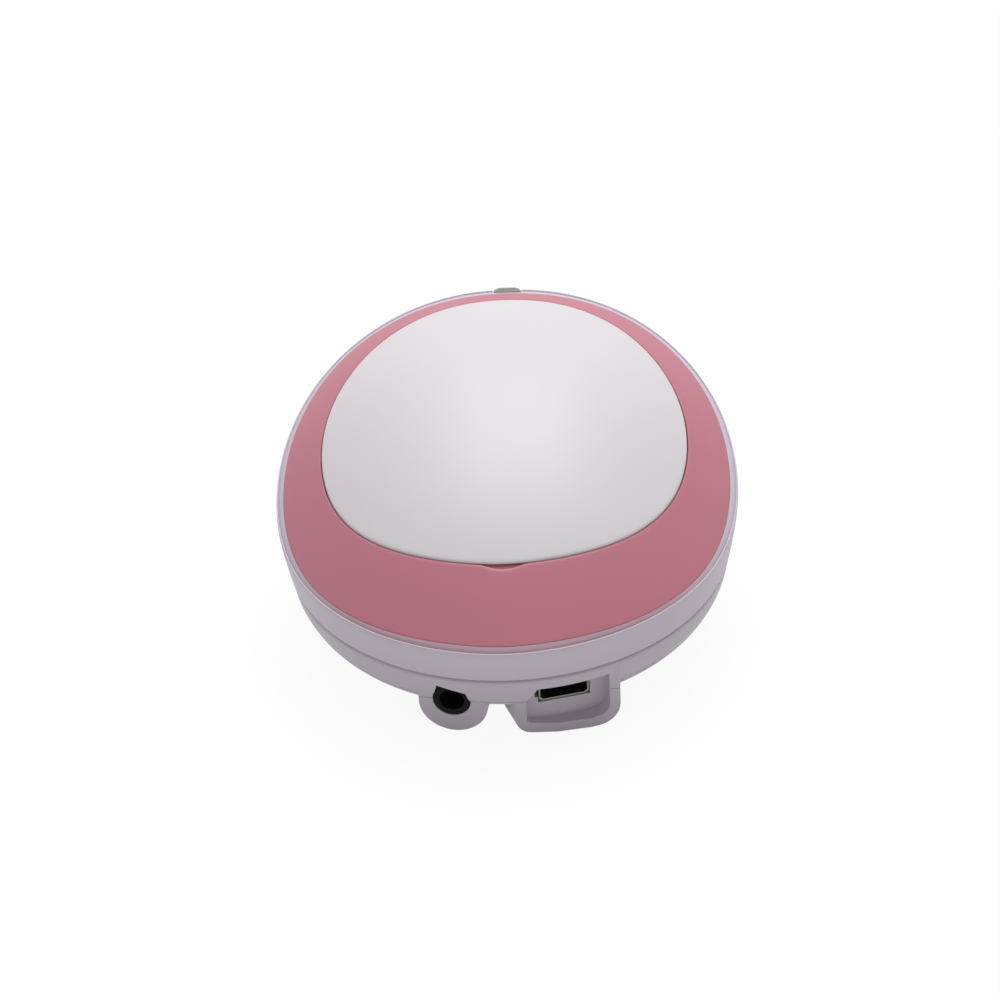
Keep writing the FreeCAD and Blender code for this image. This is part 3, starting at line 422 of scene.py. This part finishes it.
SHELL_COLOR = (0.655, 0.585, 0.668)
pearl = finish("pearl_white_satin", (0.725, 0.69, 0.715), 0.5, **PLASTIC)
pink = finish("dusty_pink_satin", (0.53, 0.182, 0.242), 0.5, **PLASTIC)
shell = finish("shell_lilac_white", SHELL_COLOR, 0.48, **PLASTIC)
# The ledge's colour is painted reflection of the pink ring and painted shade, fading into the shell's colour towards
# the sides.
ledge_painted_reflection = painted_reflection_finish("shell_ledge_painted_reflection", (0.585, 0.405, 0.462), SHELL_COLOR)
grey_button = finish("button_grey", (0.36, 0.36, 0.335), 0.5, **PLASTIC)
socket_black = finish("socket_black", (0.004, 0.004, 0.0045), 0.6, specular=0.12)
tinned = finish("tinned_steel", (0.62, 0.62, 0.62), 0.3, metallic=1.0, **METAL)
socket_steel = finish("socket_steel", (0.21, 0.21, 0.185), 0.4, metallic=1.0, **METAL)
window = finish("probe_window_grey", (0.42, 0.43, 0.45), 0.55, **PLASTIC)
foil = finish("cell_foil", (0.66, 0.67, 0.69), 0.35, metallic=0.9, mottle=0.08, patchy=0.25, grain=0.6, scale=420.0)
foam = finish("foam_pad", (0.03, 0.03, 0.032), 0.95, mottle=0.5, grain=1.0, scale=1500.0)
rubber = finish("seal_rubber", (0.02, 0.02, 0.022), 0.8, **RUBBER)
red_wire = finish("lead_red", (0.45, 0.02, 0.02), 0.45, **PLASTIC)
board = circuit_finish("circuit_board_green")
plug = finish("plug_white", (0.68, 0.66, 0.58), 0.5, **PLASTIC)
gold = finish("contact_gold", (0.75, 0.52, 0.2), 0.3, metallic=1.0, **METAL)
chip_black = finish("chip_black", (0.015, 0.015, 0.018), 0.55, mottle=0.15, grain=0.4, scale=5000.0)
screw = finish("screw_steel", (0.5, 0.5, 0.51), 0.35, metallic=1.0, **METAL)
amber = finish("ribbon_amber", (0.55, 0.22, 0.03), 0.35, mottle=0.06)
ceramic = finish("silvered_ceramic", (0.6, 0.57, 0.5), 0.4, metallic=0.6, mottle=0.06, patchy=0.2)
cork = finish("divider_cork", (0.3, 0.17, 0.08), 0.9, mottle=0.9, grain=0.8, scale=900.0)
tan = finish("plunger_tan", (0.55, 0.48, 0.33), 0.5, **PLASTIC)

slot_finish = {
    "pearl_white": pearl, "dusty_pink": pink, "shell_white": shell, "window_grey": window, "seal_rubber": rubber,
    "ceramic": ceramic, "cork_brown": cork, "tinned_steel": tinned, "lead_grey": rubber, "board_green": board,
    "chip_black": chip_black, "capacitor_tan": tan, "screw_steel": screw, "socket_black": socket_black,
    "contact_gold": gold, "cell_silver": foil, "pad_foam": foam, "lead_red": red_wire, "plug_white": plug,
    "button_grey": grey_button, "plunger_tan": tan, "ribbon_amber": amber,
}
for node, piece in frame["nodes"].items():
    piece.data.materials.clear()
    piece.data.materials.append(socket_steel if node == "usb_shell" else slot_finish[node_slot[node]])


# ---- dome cover ---------------------------------------------------------------------------------
def notch_share(angle):
    """One at the middle of the fingernail notch, falling to nothing at its two ends."""
    x = DOME_PLAN[0] * math.sin(angle) - NOTCH_SIDE
    if abs(angle) > 0.5:
        return 0.0
    return max(0.0, 1 - (x / NOTCH_HALF) ** 2)


def dome_cover():
    rows = [("share", k / 36, 0.0) for k in range(36)]
    rows += [("inset", 0.45, 0.0), ("inset", 0.25, 0.0), ("inset", 0.12, 0.03), ("inset", 0.04, 0.1), ("inset", 0.0, 0.22),
             ("lip", 0.0, 0.3), ("lip", 1.0, 0.5), ("lip", 1.0, 0.9), ("lip", 1.0, DOME_WALL), ("inset", 1.0, DOME_WALL), ("inset", SKIRT_INSET, DOME_WALL),
             ("inset", SKIRT_INSET, DOME_WALL + SKIRT_DEPTH), ("inset", SKIRT_INSET + SKIRT_WALL, DOME_WALL + SKIRT_DEPTH),
             ("inset", SKIRT_INSET + SKIRT_WALL, DOME_WALL)]
    rows += [("share", 0.8 - 0.1 * k, DOME_WALL) for k in range(9)]

    def place(station, angle):
        kind, amount, drop = rows[station]
        edge = outline(DOME_PLAN, angle)
        if kind == "lip":
            reach = edge - amount * NOTCH_UNDERCUT * notch_share(angle)
        else:
            reach = edge * amount if kind == "share" else edge - amount
        return spot(angle, reach, top_at(angle, reach) - drop)

    return turned(len(rows), place)


finished("dome_cover_shell", dome_cover(), "cover", "dome_cover", pearl)


# ---- accent ring --------------------------------------------------------------------------------
def notch_bite(angle):
    """How far the fingernail notch bites into the ring's inner edge."""
    return max(0.0, NOTCH_REACH * notch_share(angle) - SHUT_GAP)


def accent_ring():
    roll = RING_ROLL
    rows = [("in", 0.0, RING_WALL), ("in", 0.0, NOTCH_DEPTH), ("bite", 0.0, NOTCH_DEPTH), ("bite", 0.0, 0.32),
            ("bite", 0.03, 0.19), ("bite", 0.1, 0.09), ("bite", 0.22, 0.03), ("bite", 0.42, 0.0)]
    rows += [("between", share, 0.0) for share in (0.012, *(k / 18 for k in range(1, 18)), 0.985)]
    rows += [("out", roll, 0.0), ("out", roll * 0.6, 0.08 * roll), ("out", roll * 0.3, 0.3 * roll),
             ("out", roll * 0.1, 0.62 * roll), ("out", 0.0, roll), ("out", 0.0, RING_WALL)]

    def place(station, angle):
        kind, amount, drop = rows[station]
        inner = outline(DOME_PLAN, angle) + SHUT_GAP
        outer = outline(RING_PLAN, angle)
        bitten = inner + notch_bite(angle)
        soft = 1 + 0.9 * notch_share(angle)
        if kind == "in":
            reach = inner + amount - NOTCH_SHELF * notch_share(angle)
        elif kind == "bite":
            reach = bitten + amount * soft
        elif kind == "out":
            reach = outer - amount
        else:
            start = bitten + 0.42 * soft
            reach = start + (outer - roll - start) * amount
        return spot(angle, reach, top_at(angle, reach) - drop)

    return turned(len(rows), place, closed=True)


finished("accent_ring_band", accent_ring(), "housing", "accent_ring", pink)


# ---- upper shell --------------------------------------------------------------------------------
def upper_shell():
    rows = [("seam", 0.45, -0.02), ("seam", 0.3, 0.02), ("seam", 0.16, 0.1), ("seam", 0.06, 0.22), ("seam", 0.0, 0.42)]
    rows += [("wall", k / 14, 0.0) for k in range(1, 14)]
    rows += [("bead", 0.0, 1.3), ("bead", 0.008, 1.0), ("bead", 0.03, 0.7), ("bead", 0.06, 0.48), ("bead", 0.1, 0.3),
             ("bead", 0.135, 0.15), ("bead", 0.165, 0.06), ("bead", 0.2, 0.015), ("bead", 0.24, 0.0), ("bead", 0.29, 0.0),
             ("bead", 0.315, 0.03), ("bead", 0.34, 0.11), ("bead", BEAD_WIDTH, 0.25)]
    rows += [("groove", 0.05, 1.0), ("groove", 0.18, 1.0), ("groove", 0.34, 0.5), ("groove", 0.48, 0.0)]
    rows += [("recess", 0.03, 0.04), ("recess", 0.0, 0.08), ("recess", 0.0, DECK_DROP)]
    rows += [("deck", k / 8, DECK_DROP) for k in range(1, 8)]
    rows += [("opening", 0.0, DECK_DROP + 0.2), ("opening", 0.0, DECK_DROP + 2.0), ("cup", 0.0, BAY_FLOOR + 0.6),
             ("cup", 0.15, BAY_FLOOR + 0.15), ("cup", 0.6, BAY_FLOOR), ("cup", 8.0, BAY_FLOOR), ("axis", 0.0, BAY_FLOOR),
             ("axis", 0.0, BAY_FLOOR - BAY_WALL), ("cup", -BAY_WALL, BAY_FLOOR - BAY_WALL),
             ("opening", -BAY_WALL, DECK_DROP + DECK_WALL)]
    rows += [("lining", 0.0, DECK_DROP + DECK_WALL), ("foot", 0.0, 0.0)]

    def place(station, angle):
        kind, amount, extra = rows[station]
        rim = rim_height(angle)
        rim_reach = wall(angle, rim)
        opening = outline(DOME_PLAN, angle) - BAY_OPENING
        recess = outline(RING_PLAN, angle) + RING_GAP
        low = SEAM_GAP / 2
        if kind == "seam":
            return spot(angle, wall(angle, low + extra) - amount, low + extra)
        if kind == "wall":
            z = low + 0.42 + (rim - 1.3 - low - 0.42) * amount
            return spot(angle, wall(angle, z), z)
        if kind == "bead":
            return spot(angle, wall(angle, rim - extra) - amount, rim - extra)
        if kind == "groove":
            share = front_share(angle)
            near, far = rim_reach - BEAD_WIDTH, recess + 0.03
            reach = near + (far - near) * amount / 0.8
            z = top_at(angle, reach) - LEDGE_DROP - RIM_GROOVE_DEPTH * share * extra
            slant_reach = near + (far - near) * amount / 0.55
            slant_z = rim - 0.25 + (top_at(angle, far) - 0.04 - rim + 0.25) * amount / 0.55
            return spot(angle, share * reach + (1 - share) * slant_reach, share * z + (1 - share) * slant_z)
        if kind == "recess":
            return spot(angle, recess + amount, top_at(angle, recess + amount) - extra)
        if kind == "deck":
            reach = recess + (opening - recess) * amount
            return spot(angle, reach, top_at(angle, reach) - extra)
        if kind == "opening":
            reach = opening - amount
            return spot(angle, reach, top_at(angle, reach) - extra)
        if kind == "cup":
            return spot(angle, opening - amount, extra)
        if kind == "axis":
            return spot(angle, 0.0, extra)
        if kind == "lining":
            reach = recess - 0.8
            for _ in range(30):
                reach += 0.5 * (wall(angle, max(top_at(angle, reach) - extra, low)) - SHELL_WALL - reach)
            return spot(angle, reach, top_at(angle, reach) - extra)
        return spot(angle, wall(angle, low) - SHELL_WALL, low)

    return turned(len(rows), place, closed=True)


BUTTON_HALF = 2.2
BUTTON_BOTTOM = 17.4
BUTTON_GAP = 0.05
BUTTON_HEAD_BACK = 36.1
BUTTON_FACE = 37.49
BUTTON_NECK_TOP = 20.0
FLANGE_FACE = 34.45
FLANGE_BACK = 33.55
upper_piece = finished("upper_shell_body", upper_shell(), "housing", "upper_shell", shell)


def paint_ledge_reflection_and_shade(piece):
    """The narrow ledge between the ring and the rim is painted darker and pinker than the rest of the shell: painted
    reflection of the pink ring and painted shade of the recess it sits in.
    """
    piece.data.materials.append(ledge_painted_reflection)
    for face in piece.data.polygons:
        x, y = face.center.x * 1000, face.center.y * 1000 - FRAME_SHIFT_Y
        angle, reach, z = math.atan2(x, -y), math.hypot(x, y), face.center.z * 1000 - SEAM_HEIGHT
        if reach < 32.0 or z < 5.0:
            continue
        inner = outline(RING_PLAN, angle) + RING_GAP
        outer = wall(angle, rim_height(angle)) - BEAD_WIDTH - 0.05
        if inner + 0.01 < reach < outer and z > top_at(angle, reach) - 1.0 and abs(angle) < 1.55:
            face.material_index = 1


slot_half = BUTTON_HALF + BUTTON_GAP
carve(upper_piece, settle(block((-slot_half, 33.0, BUTTON_BOTTOM - BUTTON_GAP), (slot_half, 40.0, 20.15))))
carve(upper_piece, settle(block((-slot_half, 35.65, BUTTON_BOTTOM - BUTTON_GAP), (slot_half, 40.0, 30.0))))
carve(upper_piece, settle(block((2.65, -19.3, 5.0), (7.35, -17.1, 7.5))))
# Paints the ledge faces with the painted reflection and shade colour.
paint_ledge_reflection_and_shade(upper_piece)
soften(upper_piece, 32)

# ---- lower shell --------------------------------------------------------------------------------
JACK_AZIMUTH = -14.3
JACK_LEVEL = -5.2
PARTING_DEPTH = 0.13
JACK_FACE = 31.8
JACK_BOSS_HALF = 5.0
JACK_BOSS_ARC = -5.75
BOSS_AZIMUTH = -8.5
BOSS_SIDE = JACK_FACE * math.sin(math.radians(JACK_AZIMUTH - BOSS_AZIMUTH)) + 0.2
BOSS_FACE = JACK_FACE * math.cos(math.radians(JACK_AZIMUTH - BOSS_AZIMUTH))
JACK_PORT = 2.75
JACK_PORT_GAP = 0.1
JACK_BROW = ((-2.75, -5.2), (-1.7, -1.75), (2.45, -2.85), (2.75, -5.2))
JACK_BACK = 29.5
JACK_FRONT = 32.6
JACK_BODY = (6.2, 10.6, 5.0)
USB_AZIMUTH = 14.0
USB_OFFSET = 0.95
USB_LEVEL = -5.7
USB_FACE = 29.6
USB_SIZE = (7.4, 5.2, 2.45)
TRAY_UNDERSIDE = ((-6.5, -11.2), (-0.5, -11.9), (4.5, -11.8), (8.7, -11.0))
TRAY_SIDE_WALL = 1.6
TRAY_FLOOR_WALL = 1.6
TRAY_FACE = 31.5
TRAY_AZIMUTH = 8.5
TRAY_TURN = math.radians(USB_AZIMUTH - TRAY_AZIMUTH)
TRAY_PIVOT = 1.1
TRAY_SIDE = TRAY_PIVOT * math.cos(TRAY_TURN) + TRAY_FACE * math.sin(TRAY_TURN) - TRAY_PIVOT
TRAY_PLANE = TRAY_FACE * math.cos(TRAY_TURN) - TRAY_PIVOT * math.sin(TRAY_TURN)
TRAY_BACK = 29.7
TRAY_CEILING = -2.0
TRAY_FLARE = 2.7
BLOCK_TOP = -0.6


SEAM_ROLL = 0.42


def lower_shell():
    front = spline_through([(-z, r) for r, z in BOWL_FRONT])
    side = spline_through([(-z, r) for r, z in BOWL_SIDE])
    levels = [0.13, 0.16, 0.22, 0.3, 0.4, 0.55, 0.8, 1.4, 2.0, 2.7, 3.4, 4.0, 4.6, 4.92, 4.95, 5.04, 5.07, 5.4, 5.8, 6.3, 6.8, 7.3, 7.7, 8.1, 8.5, 8.8, 9.1, 9.4, 9.7, 9.95, 10.2, 10.4, 10.6]
    roll = [SEAM_ROLL * max(0.0, 1 - (z - 0.13) / 0.45) ** 2 + (PARTING_DEPTH if 4.94 < z < 5.05 else 0.0) for z in levels]
    profile = [(side(z) - inset, -z) for z, inset in zip(levels, roll)]
    profile += [(18.5, -10.72), (PROBE_RADIUS + SHUT_GAP + 0.2, -10.75), (PROBE_RADIUS + SHUT_GAP, -10.6)]
    profile += [(PROBE_RADIUS + SHUT_GAP, -9.0), (20.0, -9.0), (24.0, -8.3), (27.0, -7.3), (29.0, -6.0), (30.6, -4.0),
                (31.4, -2.0), (30.8, -1.5), (30.8, 1.4), (31.5, 1.4), (31.5, -0.3), (31.7, -0.15)]

    def place(station, angle):
        reach, z = profile[station]
        if station < len(levels):
            near, far = BOWL_FADE
            share = min(1.0, max(0.0, (far - abs(math.degrees(angle))) / (far - near)))
            reach += (front(-z) - side(-z)) * share * share * (3 - 2 * share)
        return spot(angle, reach, z)

    return turned(len(profile), place, closed=True)


lower_piece = finished("lower_shell_body", lower_shell(), "housing", "lower_shell", shell)


def jack_boss(piece):
    """Half-round boss under the shell: a block with straight sides and a round foot."""
    half = JACK_BOSS_HALF
    upper = block((BOSS_SIDE - half, -BOSS_FACE, JACK_BOSS_ARC), (BOSS_SIDE + half, -20.5, BLOCK_TOP))
    carve(piece, settle(upper, BOSS_AZIMUTH), "UNION")
    carve(piece, settle(rod(half, 20.5, BOSS_FACE, BOSS_SIDE, JACK_BOSS_ARC, 96), BOSS_AZIMUTH), "UNION")


def jack_port(piece):
    """The port: a round bore with a slanting top edge."""
    carve(piece, settle(rod(JACK_PORT, 26.0, 45.0, 0.0, JACK_LEVEL, 96), JACK_AZIMUTH))
    carve(piece, settle(standing_plate(JACK_BROW, 26.0, 45.0), JACK_AZIMUTH))


def tray_block(piece):
    """The block for the charging plug. Its left side widens towards the shell."""
    left, right = TRAY_UNDERSIDE[0], TRAY_UNDERSIDE[-1]
    corners = [(left[0], BLOCK_TOP), *TRAY_UNDERSIDE, (right[0], BLOCK_TOP)]
    form = standing_plate(corners, 20.5, TRAY_PLANE, corner_bevel=((1, 2.2), (4, 3.0)), edge=0.25)
    inner_left = [v for v in form.verts if v.co.y > -21.0 and v.co.x < -2.0]
    bmesh.ops.translate(form, vec=(-TRAY_FLARE, 0, 0), verts=inner_left)
    bmesh.ops.translate(form, vec=(TRAY_SIDE, 0, 0), verts=form.verts)
    carve(piece, settle(form, TRAY_AZIMUTH), "UNION")


def tray_recess(piece):
    """The recess, with a slanting upper corner, and the brow cut back above its right wall."""
    left, right = TRAY_UNDERSIDE[0][0] + TRAY_SIDE_WALL, TRAY_UNDERSIDE[-1][0] - TRAY_SIDE_WALL
    floor = [(x, z + TRAY_FLOOR_WALL + 0.2) for x, z in TRAY_UNDERSIDE]
    floor[0], floor[-1] = (left, floor[0][1]), (right, floor[-1][1])
    corners = [*floor, (right, TRAY_CEILING), (left + 1.35, TRAY_CEILING), (left, TRAY_CEILING - 2.7)]
    form = standing_plate(corners, TRAY_BACK, 45.0, corner_bevel=((0, 0.6), (3, 1.4)))
    carve(piece, settle(form, USB_AZIMUTH))
    low, high = right + TRAY_SIDE - 1.0, right + TRAY_SIDE + TRAY_SIDE_WALL - 0.08
    carve(piece, settle(block((low, -45.0, USB_LEVEL), (high, -TRAY_PLANE - 0.02, TRAY_CEILING - 0.02)), TRAY_AZIMUTH))


jack_boss(lower_piece)
tray_block(lower_piece)
for face, azimuth, left, right in ((BOSS_FACE, BOSS_AZIMUTH, -9.0, 2.3), (TRAY_PLANE, TRAY_AZIMUTH, -4.5, 12.5)):
    carve(lower_piece, settle(block((left, -face - 0.5, -5.04), (right, PARTING_DEPTH - face, -4.95)), azimuth))
tray_recess(lower_piece)
jack_port(lower_piece)
width, depth, height = USB_SIZE
carve(lower_piece, settle(block((USB_OFFSET - width / 2 - SHUT_GAP, -TRAY_FACE, USB_LEVEL - height / 2 - SHUT_GAP),
                                (USB_OFFSET + width / 2 + SHUT_GAP, -22.0, USB_LEVEL + height / 2 + SHUT_GAP)), USB_AZIMUTH))
carve(lower_piece, settle(block((USB_OFFSET - width / 2 - 0.6, -TRAY_FACE, USB_LEVEL - 0.4),
                                (USB_OFFSET - width / 2, -26.5, USB_LEVEL + height / 2 + SHUT_GAP - 0.02)), USB_AZIMUTH))
for angle in (58, 122, 200, 340):
    hole = bmesh.new()
    bmesh.ops.create_cone(hole, cap_ends=True, segments=48, radius1=2.3, radius2=2.3, depth=12.0)
    turn = math.radians(angle)
    bmesh.ops.translate(hole, vec=(26.6 * math.cos(turn), 26.6 * math.sin(turn), -5.2 - 6.0), verts=hole.verts)
    carve(lower_piece, settle(hole))
soften(lower_piece, 32)


# ---- sockets ------------------------------------------------------------------------------------
def headphone_socket():
    """Box body with a front collar that fills the port, bored for the plug."""
    width, depth, height = JACK_BODY
    body = block((-width / 2, -JACK_BACK, JACK_LEVEL - height / 2), (width / 2, depth - JACK_BACK, JACK_LEVEL + height / 2), 0.2)
    piece = finished("headphone_socket", settle(body, JACK_AZIMUTH), "housing", "headphone_jack", socket_black)
    inset = JACK_PORT_GAP
    brow = [(x * (1 - inset / JACK_PORT), z - (inset if z > JACK_LEVEL + 1 else 0)) for x, z in JACK_BROW]
    collar = rod(JACK_PORT - inset, JACK_BACK - 0.1, JACK_FRONT, 0.0, JACK_LEVEL, 96)
    carve(piece, settle(collar, JACK_AZIMUTH), "UNION")
    carve(piece, settle(standing_plate(brow, JACK_BACK - 0.1, JACK_FRONT), JACK_AZIMUTH), "UNION")
    beyond = block((BOSS_SIDE - 8, -40.0, -12.0), (BOSS_SIDE + 8, 0.06 - BOSS_FACE, 5.0))
    carve(piece, settle(beyond, BOSS_AZIMUTH))
    carve(piece, settle(rod(1.8, 20.1, 40.0, 0.0, JACK_LEVEL), JACK_AZIMUTH))
    soften(piece, 32)


headphone_socket()


# ---- battery ------------------------------------------------------------------------------------
CELL_SIZE = (30.0, 35.0, 6.0)
CELL_CENTRE = 1.5
CELL_LEVEL = 7.9
CELL_FLAP = 0.35
CELL_TERRACE = 2.6


def battery_pouch():
    """A pouch cell: a full body, seams folded up its sides, and a taped terrace where the leads leave."""
    width, length, height = CELL_SIZE
    front, back = CELL_CENTRE - length / 2, CELL_CENTRE + length / 2
    half = width / 2 - CELL_FLAP
    body = block((-half, front + CELL_TERRACE, CELL_LEVEL), (half, back, CELL_LEVEL + height))
    rails = [e for e in body.edges if abs(e.verts[0].co.y - e.verts[1].co.y) > 1]
    bmesh.ops.bevel(body, geom=rails, offset=1.2, segments=6, profile=0.5, affect="EDGES", material=-1)
    ends = [e for e in body.edges if e.calc_face_angle(0) > 1.2]
    bmesh.ops.bevel(body, geom=ends, offset=0.5, segments=4, profile=0.5, affect="EDGES", material=-1)
    piece = finished("battery_pouch", settle(body), "housing", "battery_cell", foil)
    terrace = block((1.5 - half, front, CELL_LEVEL + 1.9), (half - 1.5, front + CELL_TERRACE + 0.6, CELL_LEVEL + 4.1), 0.12)
    carve(piece, settle(terrace), "UNION")
    for left, right in ((-width / 2, 0.1 - half), (half - 0.1, width / 2)):
        flap = block((left, front + CELL_TERRACE + 0.4, CELL_LEVEL + 0.9), (right, back - 0.3, CELL_LEVEL + 4.9), 0.1)
        carve(piece, settle(flap), "UNION")
    piece.data.materials.append(amber)
    taped = (front + CELL_TERRACE - 0.2 + FRAME_SHIFT_Y) / 1000
    for face in piece.data.polygons:
        face.material_index = 1 if face.center.y < taped else 0
    soften(piece, 32)


battery_pouch()


# ---- power button -------------------------------------------------------------------------------
def power_button():
    """A head outside the rear rim on a neck, with a flange inside the wall that keeps it in."""
    head = block((-BUTTON_HALF, BUTTON_HEAD_BACK, BUTTON_BOTTOM), (BUTTON_HALF, BUTTON_FACE, 23.35))
    corners = [e for e in head.edges if all(abs(v.co.x) > 2 and v.co.z > 23 for v in e.verts)]
    bmesh.ops.bevel(head, geom=corners, offset=0.9, segments=8, profile=0.5, affect="EDGES", material=-1)
    rim = [e for e in head.edges if e.calc_face_angle(0) > 0.8 and any(v.co.y > 37 for v in e.verts)]
    bmesh.ops.bevel(head, geom=rim, offset=0.35, segments=4, profile=0.5, affect="EDGES", material=-1)
    piece = finished("power_button_cap", settle(head), "button", "power_button", grey_button)
    neck = block((-BUTTON_HALF, FLANGE_FACE - 0.1, BUTTON_BOTTOM), (BUTTON_HALF, BUTTON_HEAD_BACK + 0.1, BUTTON_NECK_TOP))
    flange = block((-BUTTON_HALF - 0.9, FLANGE_BACK, BUTTON_BOTTOM - 0.6), (BUTTON_HALF + 0.9, FLANGE_FACE, BUTTON_NECK_TOP - 0.2), 0.15)
    carve(piece, settle(neck), "UNION")
    carve(piece, settle(flange), "UNION")
    soften(piece, 32)


power_button()


# ---- probe --------------------------------------------------------------------------------------
def probe_cup():
    """The probe's housing: a cup with a rounded foot and a flange inside the shell."""
    foot = -SEAM_HEIGHT
    profile = [(WINDOW_RADIUS, foot + 1.5), (WINDOW_RADIUS, foot + 0.2), (WINDOW_RADIUS + 0.15, foot), (PROBE_FOOT - 0.5, foot),
               (PROBE_FOOT - 0.15, foot + 0.08), (PROBE_FOOT + 0.15, foot + 0.35), (PROBE_RADIUS - 0.3, foot + 1.1),
               (PROBE_RADIUS, foot + 1.9), (PROBE_RADIUS, -8.4), (PROBE_RADIUS + 1.6, -8.4), (PROBE_RADIUS + 1.6, -7.2),
               (PROBE_RADIUS - PROBE_WALL, -7.2), (PROBE_RADIUS - PROBE_WALL, foot + 1.5)]
    finished("probe_cup", lathe(profile, 160), "housing", "probe_housing", shell)


probe_cup()

# ---- stage, light and camera --------------------------------------------------------------------
FLOOR_BOUNCE = 0.98
# Close to the object the floor's bounce is painted dark: painted shade that stands in for the object's contact shadow.
PAINTED_SHADE_BOUNCE = 0.03
PAINTED_SHADE_EDGE = (0.037, 0.054)
FLOOR_SHADED = 0.08
FLOOR_GLOW = 0.93
AMBIENT = 0.28
floor_form = bmesh.new()
bmesh.ops.create_grid(floor_form, x_segments=1, y_segments=1, size=3)
floor_mesh = bpy.data.meshes.new("studio_floor")
floor_form.to_mesh(floor_mesh)
floor_form.free()
studio_floor = bpy.data.objects.new("studio_floor", floor_mesh)
bpy.context.scene.collection.objects.link(studio_floor)


def seen_directly(nodes, links):
    """One for the rays that show the backdrop: from the camera, off gloss, or through clear pieces."""
    rays = nodes.new("ShaderNodeLightPath")
    both = nodes.new("ShaderNodeMath")
    both.operation = "MAXIMUM"
    every = nodes.new("ShaderNodeMath")
    every.operation = "MAXIMUM"
    links.new(rays.outputs["Is Camera Ray"], both.inputs[0])
    links.new(rays.outputs["Is Glossy Ray"], both.inputs[1])
    links.new(both.outputs[0], every.inputs[0])
    links.new(rays.outputs["Is Transmission Ray"], every.inputs[1])
    return every.outputs[0]


def studio_white():
    """White where it is seen, with the object's shadow in it. Its bounce is painted dark close to the object: painted
    shade in place of the object's contact shadow.
    """
    made = bpy.data.materials.new("studio_white")
    made.use_nodes = True
    nodes, links = made.node_tree.nodes, made.node_tree.links
    bounce = nodes["Principled BSDF"]
    bounce.inputs["Roughness"].default_value = 1.0
    bounce.inputs["Specular IOR Level"].default_value = 0.0
    place = nodes.new("ShaderNodeTexCoord")
    away = nodes.new("ShaderNodeVectorMath")
    away.operation = "LENGTH"
    # The bounce colour is painted dark near the centre, as painted shade.
    fade = nodes.new("ShaderNodeMapRange")
    fade.inputs["From Min"].default_value, fade.inputs["From Max"].default_value = PAINTED_SHADE_EDGE
    fade.inputs["To Min"].default_value = PAINTED_SHADE_BOUNCE
    fade.inputs["To Max"].default_value = FLOOR_BOUNCE
    links.new(place.outputs["Object"], away.inputs[0])
    links.new(away.outputs["Value"], fade.inputs["Value"])
    links.new(fade.outputs["Result"], bounce.inputs["Base Color"])
    shaded = nodes.new("ShaderNodeBsdfDiffuse")
    shaded.inputs["Color"].default_value = (FLOOR_SHADED, FLOOR_SHADED, FLOOR_SHADED, 1)
    glow = nodes.new("ShaderNodeEmission")
    glow.inputs["Strength"].default_value = FLOOR_GLOW
    white = nodes.new("ShaderNodeAddShader")
    links.new(shaded.outputs["BSDF"], white.inputs[0])
    links.new(glow.outputs["Emission"], white.inputs[1])
    mix = nodes.new("ShaderNodeMixShader")
    links.new(seen_directly(nodes, links), mix.inputs["Fac"])
    links.new(bounce.outputs["BSDF"], mix.inputs[1])
    links.new(white.outputs["Shader"], mix.inputs[2])
    links.new(mix.outputs["Shader"], nodes["Material Output"].inputs["Surface"])
    return made


floor_mesh.materials.append(studio_white())

world = bpy.data.worlds.new("studio")
world.use_nodes = True
bpy.context.scene.world = world
nodes, links = world.node_tree.nodes, world.node_tree.links
ambient = nodes["Background"]
ambient.inputs["Color"].default_value = (1, 1, 1, 1)
ambient.inputs["Strength"].default_value = AMBIENT
backdrop = nodes.new("ShaderNodeBackground")
backdrop.inputs["Color"].default_value = (1, 1, 1, 1)
backdrop.inputs["Strength"].default_value = 1.0
mix = nodes.new("ShaderNodeMixShader")
links.new(seen_directly(nodes, links), mix.inputs["Fac"])
links.new(ambient.outputs["Background"], mix.inputs[1])
links.new(backdrop.outputs["Background"], mix.inputs[2])
links.new(mix.outputs["Shader"], nodes["World Output"].inputs["Surface"])


def soft_light(name, place, aim, size, power):
    lamp = bpy.data.lights.new(name, "AREA")
    lamp.shape = "DISK"
    lamp.size = size
    lamp.energy = power
    holder = bpy.data.objects.new(name, lamp)
    holder.location = place
    holder.rotation_mode = "QUATERNION"
    holder.rotation_quaternion = (Vector(aim) - Vector(place)).to_track_quat("-Z", "Y")
    bpy.context.scene.collection.objects.link(holder)
    return holder


soft_light("overhead", (0.05, 0.14, 0.75), (0, 0, 0.02), 0.6, 4.9)

CAMERA_DISTANCE = 0.330
CAMERA_AZIMUTH = 3.0
CAMERA_ELEVATION = 36.0
CAMERA_ROLL = 3.24
CAMERA_LENS = 78.0
AIM_RIGHT = 9.2 / 2167
AIM_DOWN = 41.5 / 2167


def place_camera():
    azimuth, elevation, roll = (math.radians(v) for v in (CAMERA_AZIMUTH, CAMERA_ELEVATION, CAMERA_ROLL))
    toward = Matrix.Rotation(azimuth, 3, "Z")
    right = toward @ Vector((1, 0, 0))
    up = toward @ Vector((0, math.sin(elevation), math.cos(elevation)))
    ahead = toward @ Vector((0, math.cos(elevation), -math.sin(elevation)))
    plain = Matrix((right, up, ahead))
    tilt = Matrix.Rotation(roll, 3, "Z")
    aim = Vector((0, 0, 1)).rotation_difference(Vector((AIM_RIGHT, -AIM_DOWN, 1))).to_matrix()
    rows = aim @ tilt @ plain
    camera = bpy.data.objects.new("camera", bpy.data.cameras.new("camera"))
    camera.data.lens = CAMERA_LENS
    camera.data.sensor_width = 36.0
    camera.data.clip_start = 0.01
    basis = Matrix((rows[0], rows[1], -rows[2])).transposed().to_4x4()
    centre = spot(0, 0, 0)
    basis.translation = centre - ahead * CAMERA_DISTANCE
    camera.matrix_world = basis
    bpy.context.scene.collection.objects.link(camera)
    bpy.context.scene.camera = camera


place_camera()
bpy.context.scene.view_settings.view_transform = "Standard"
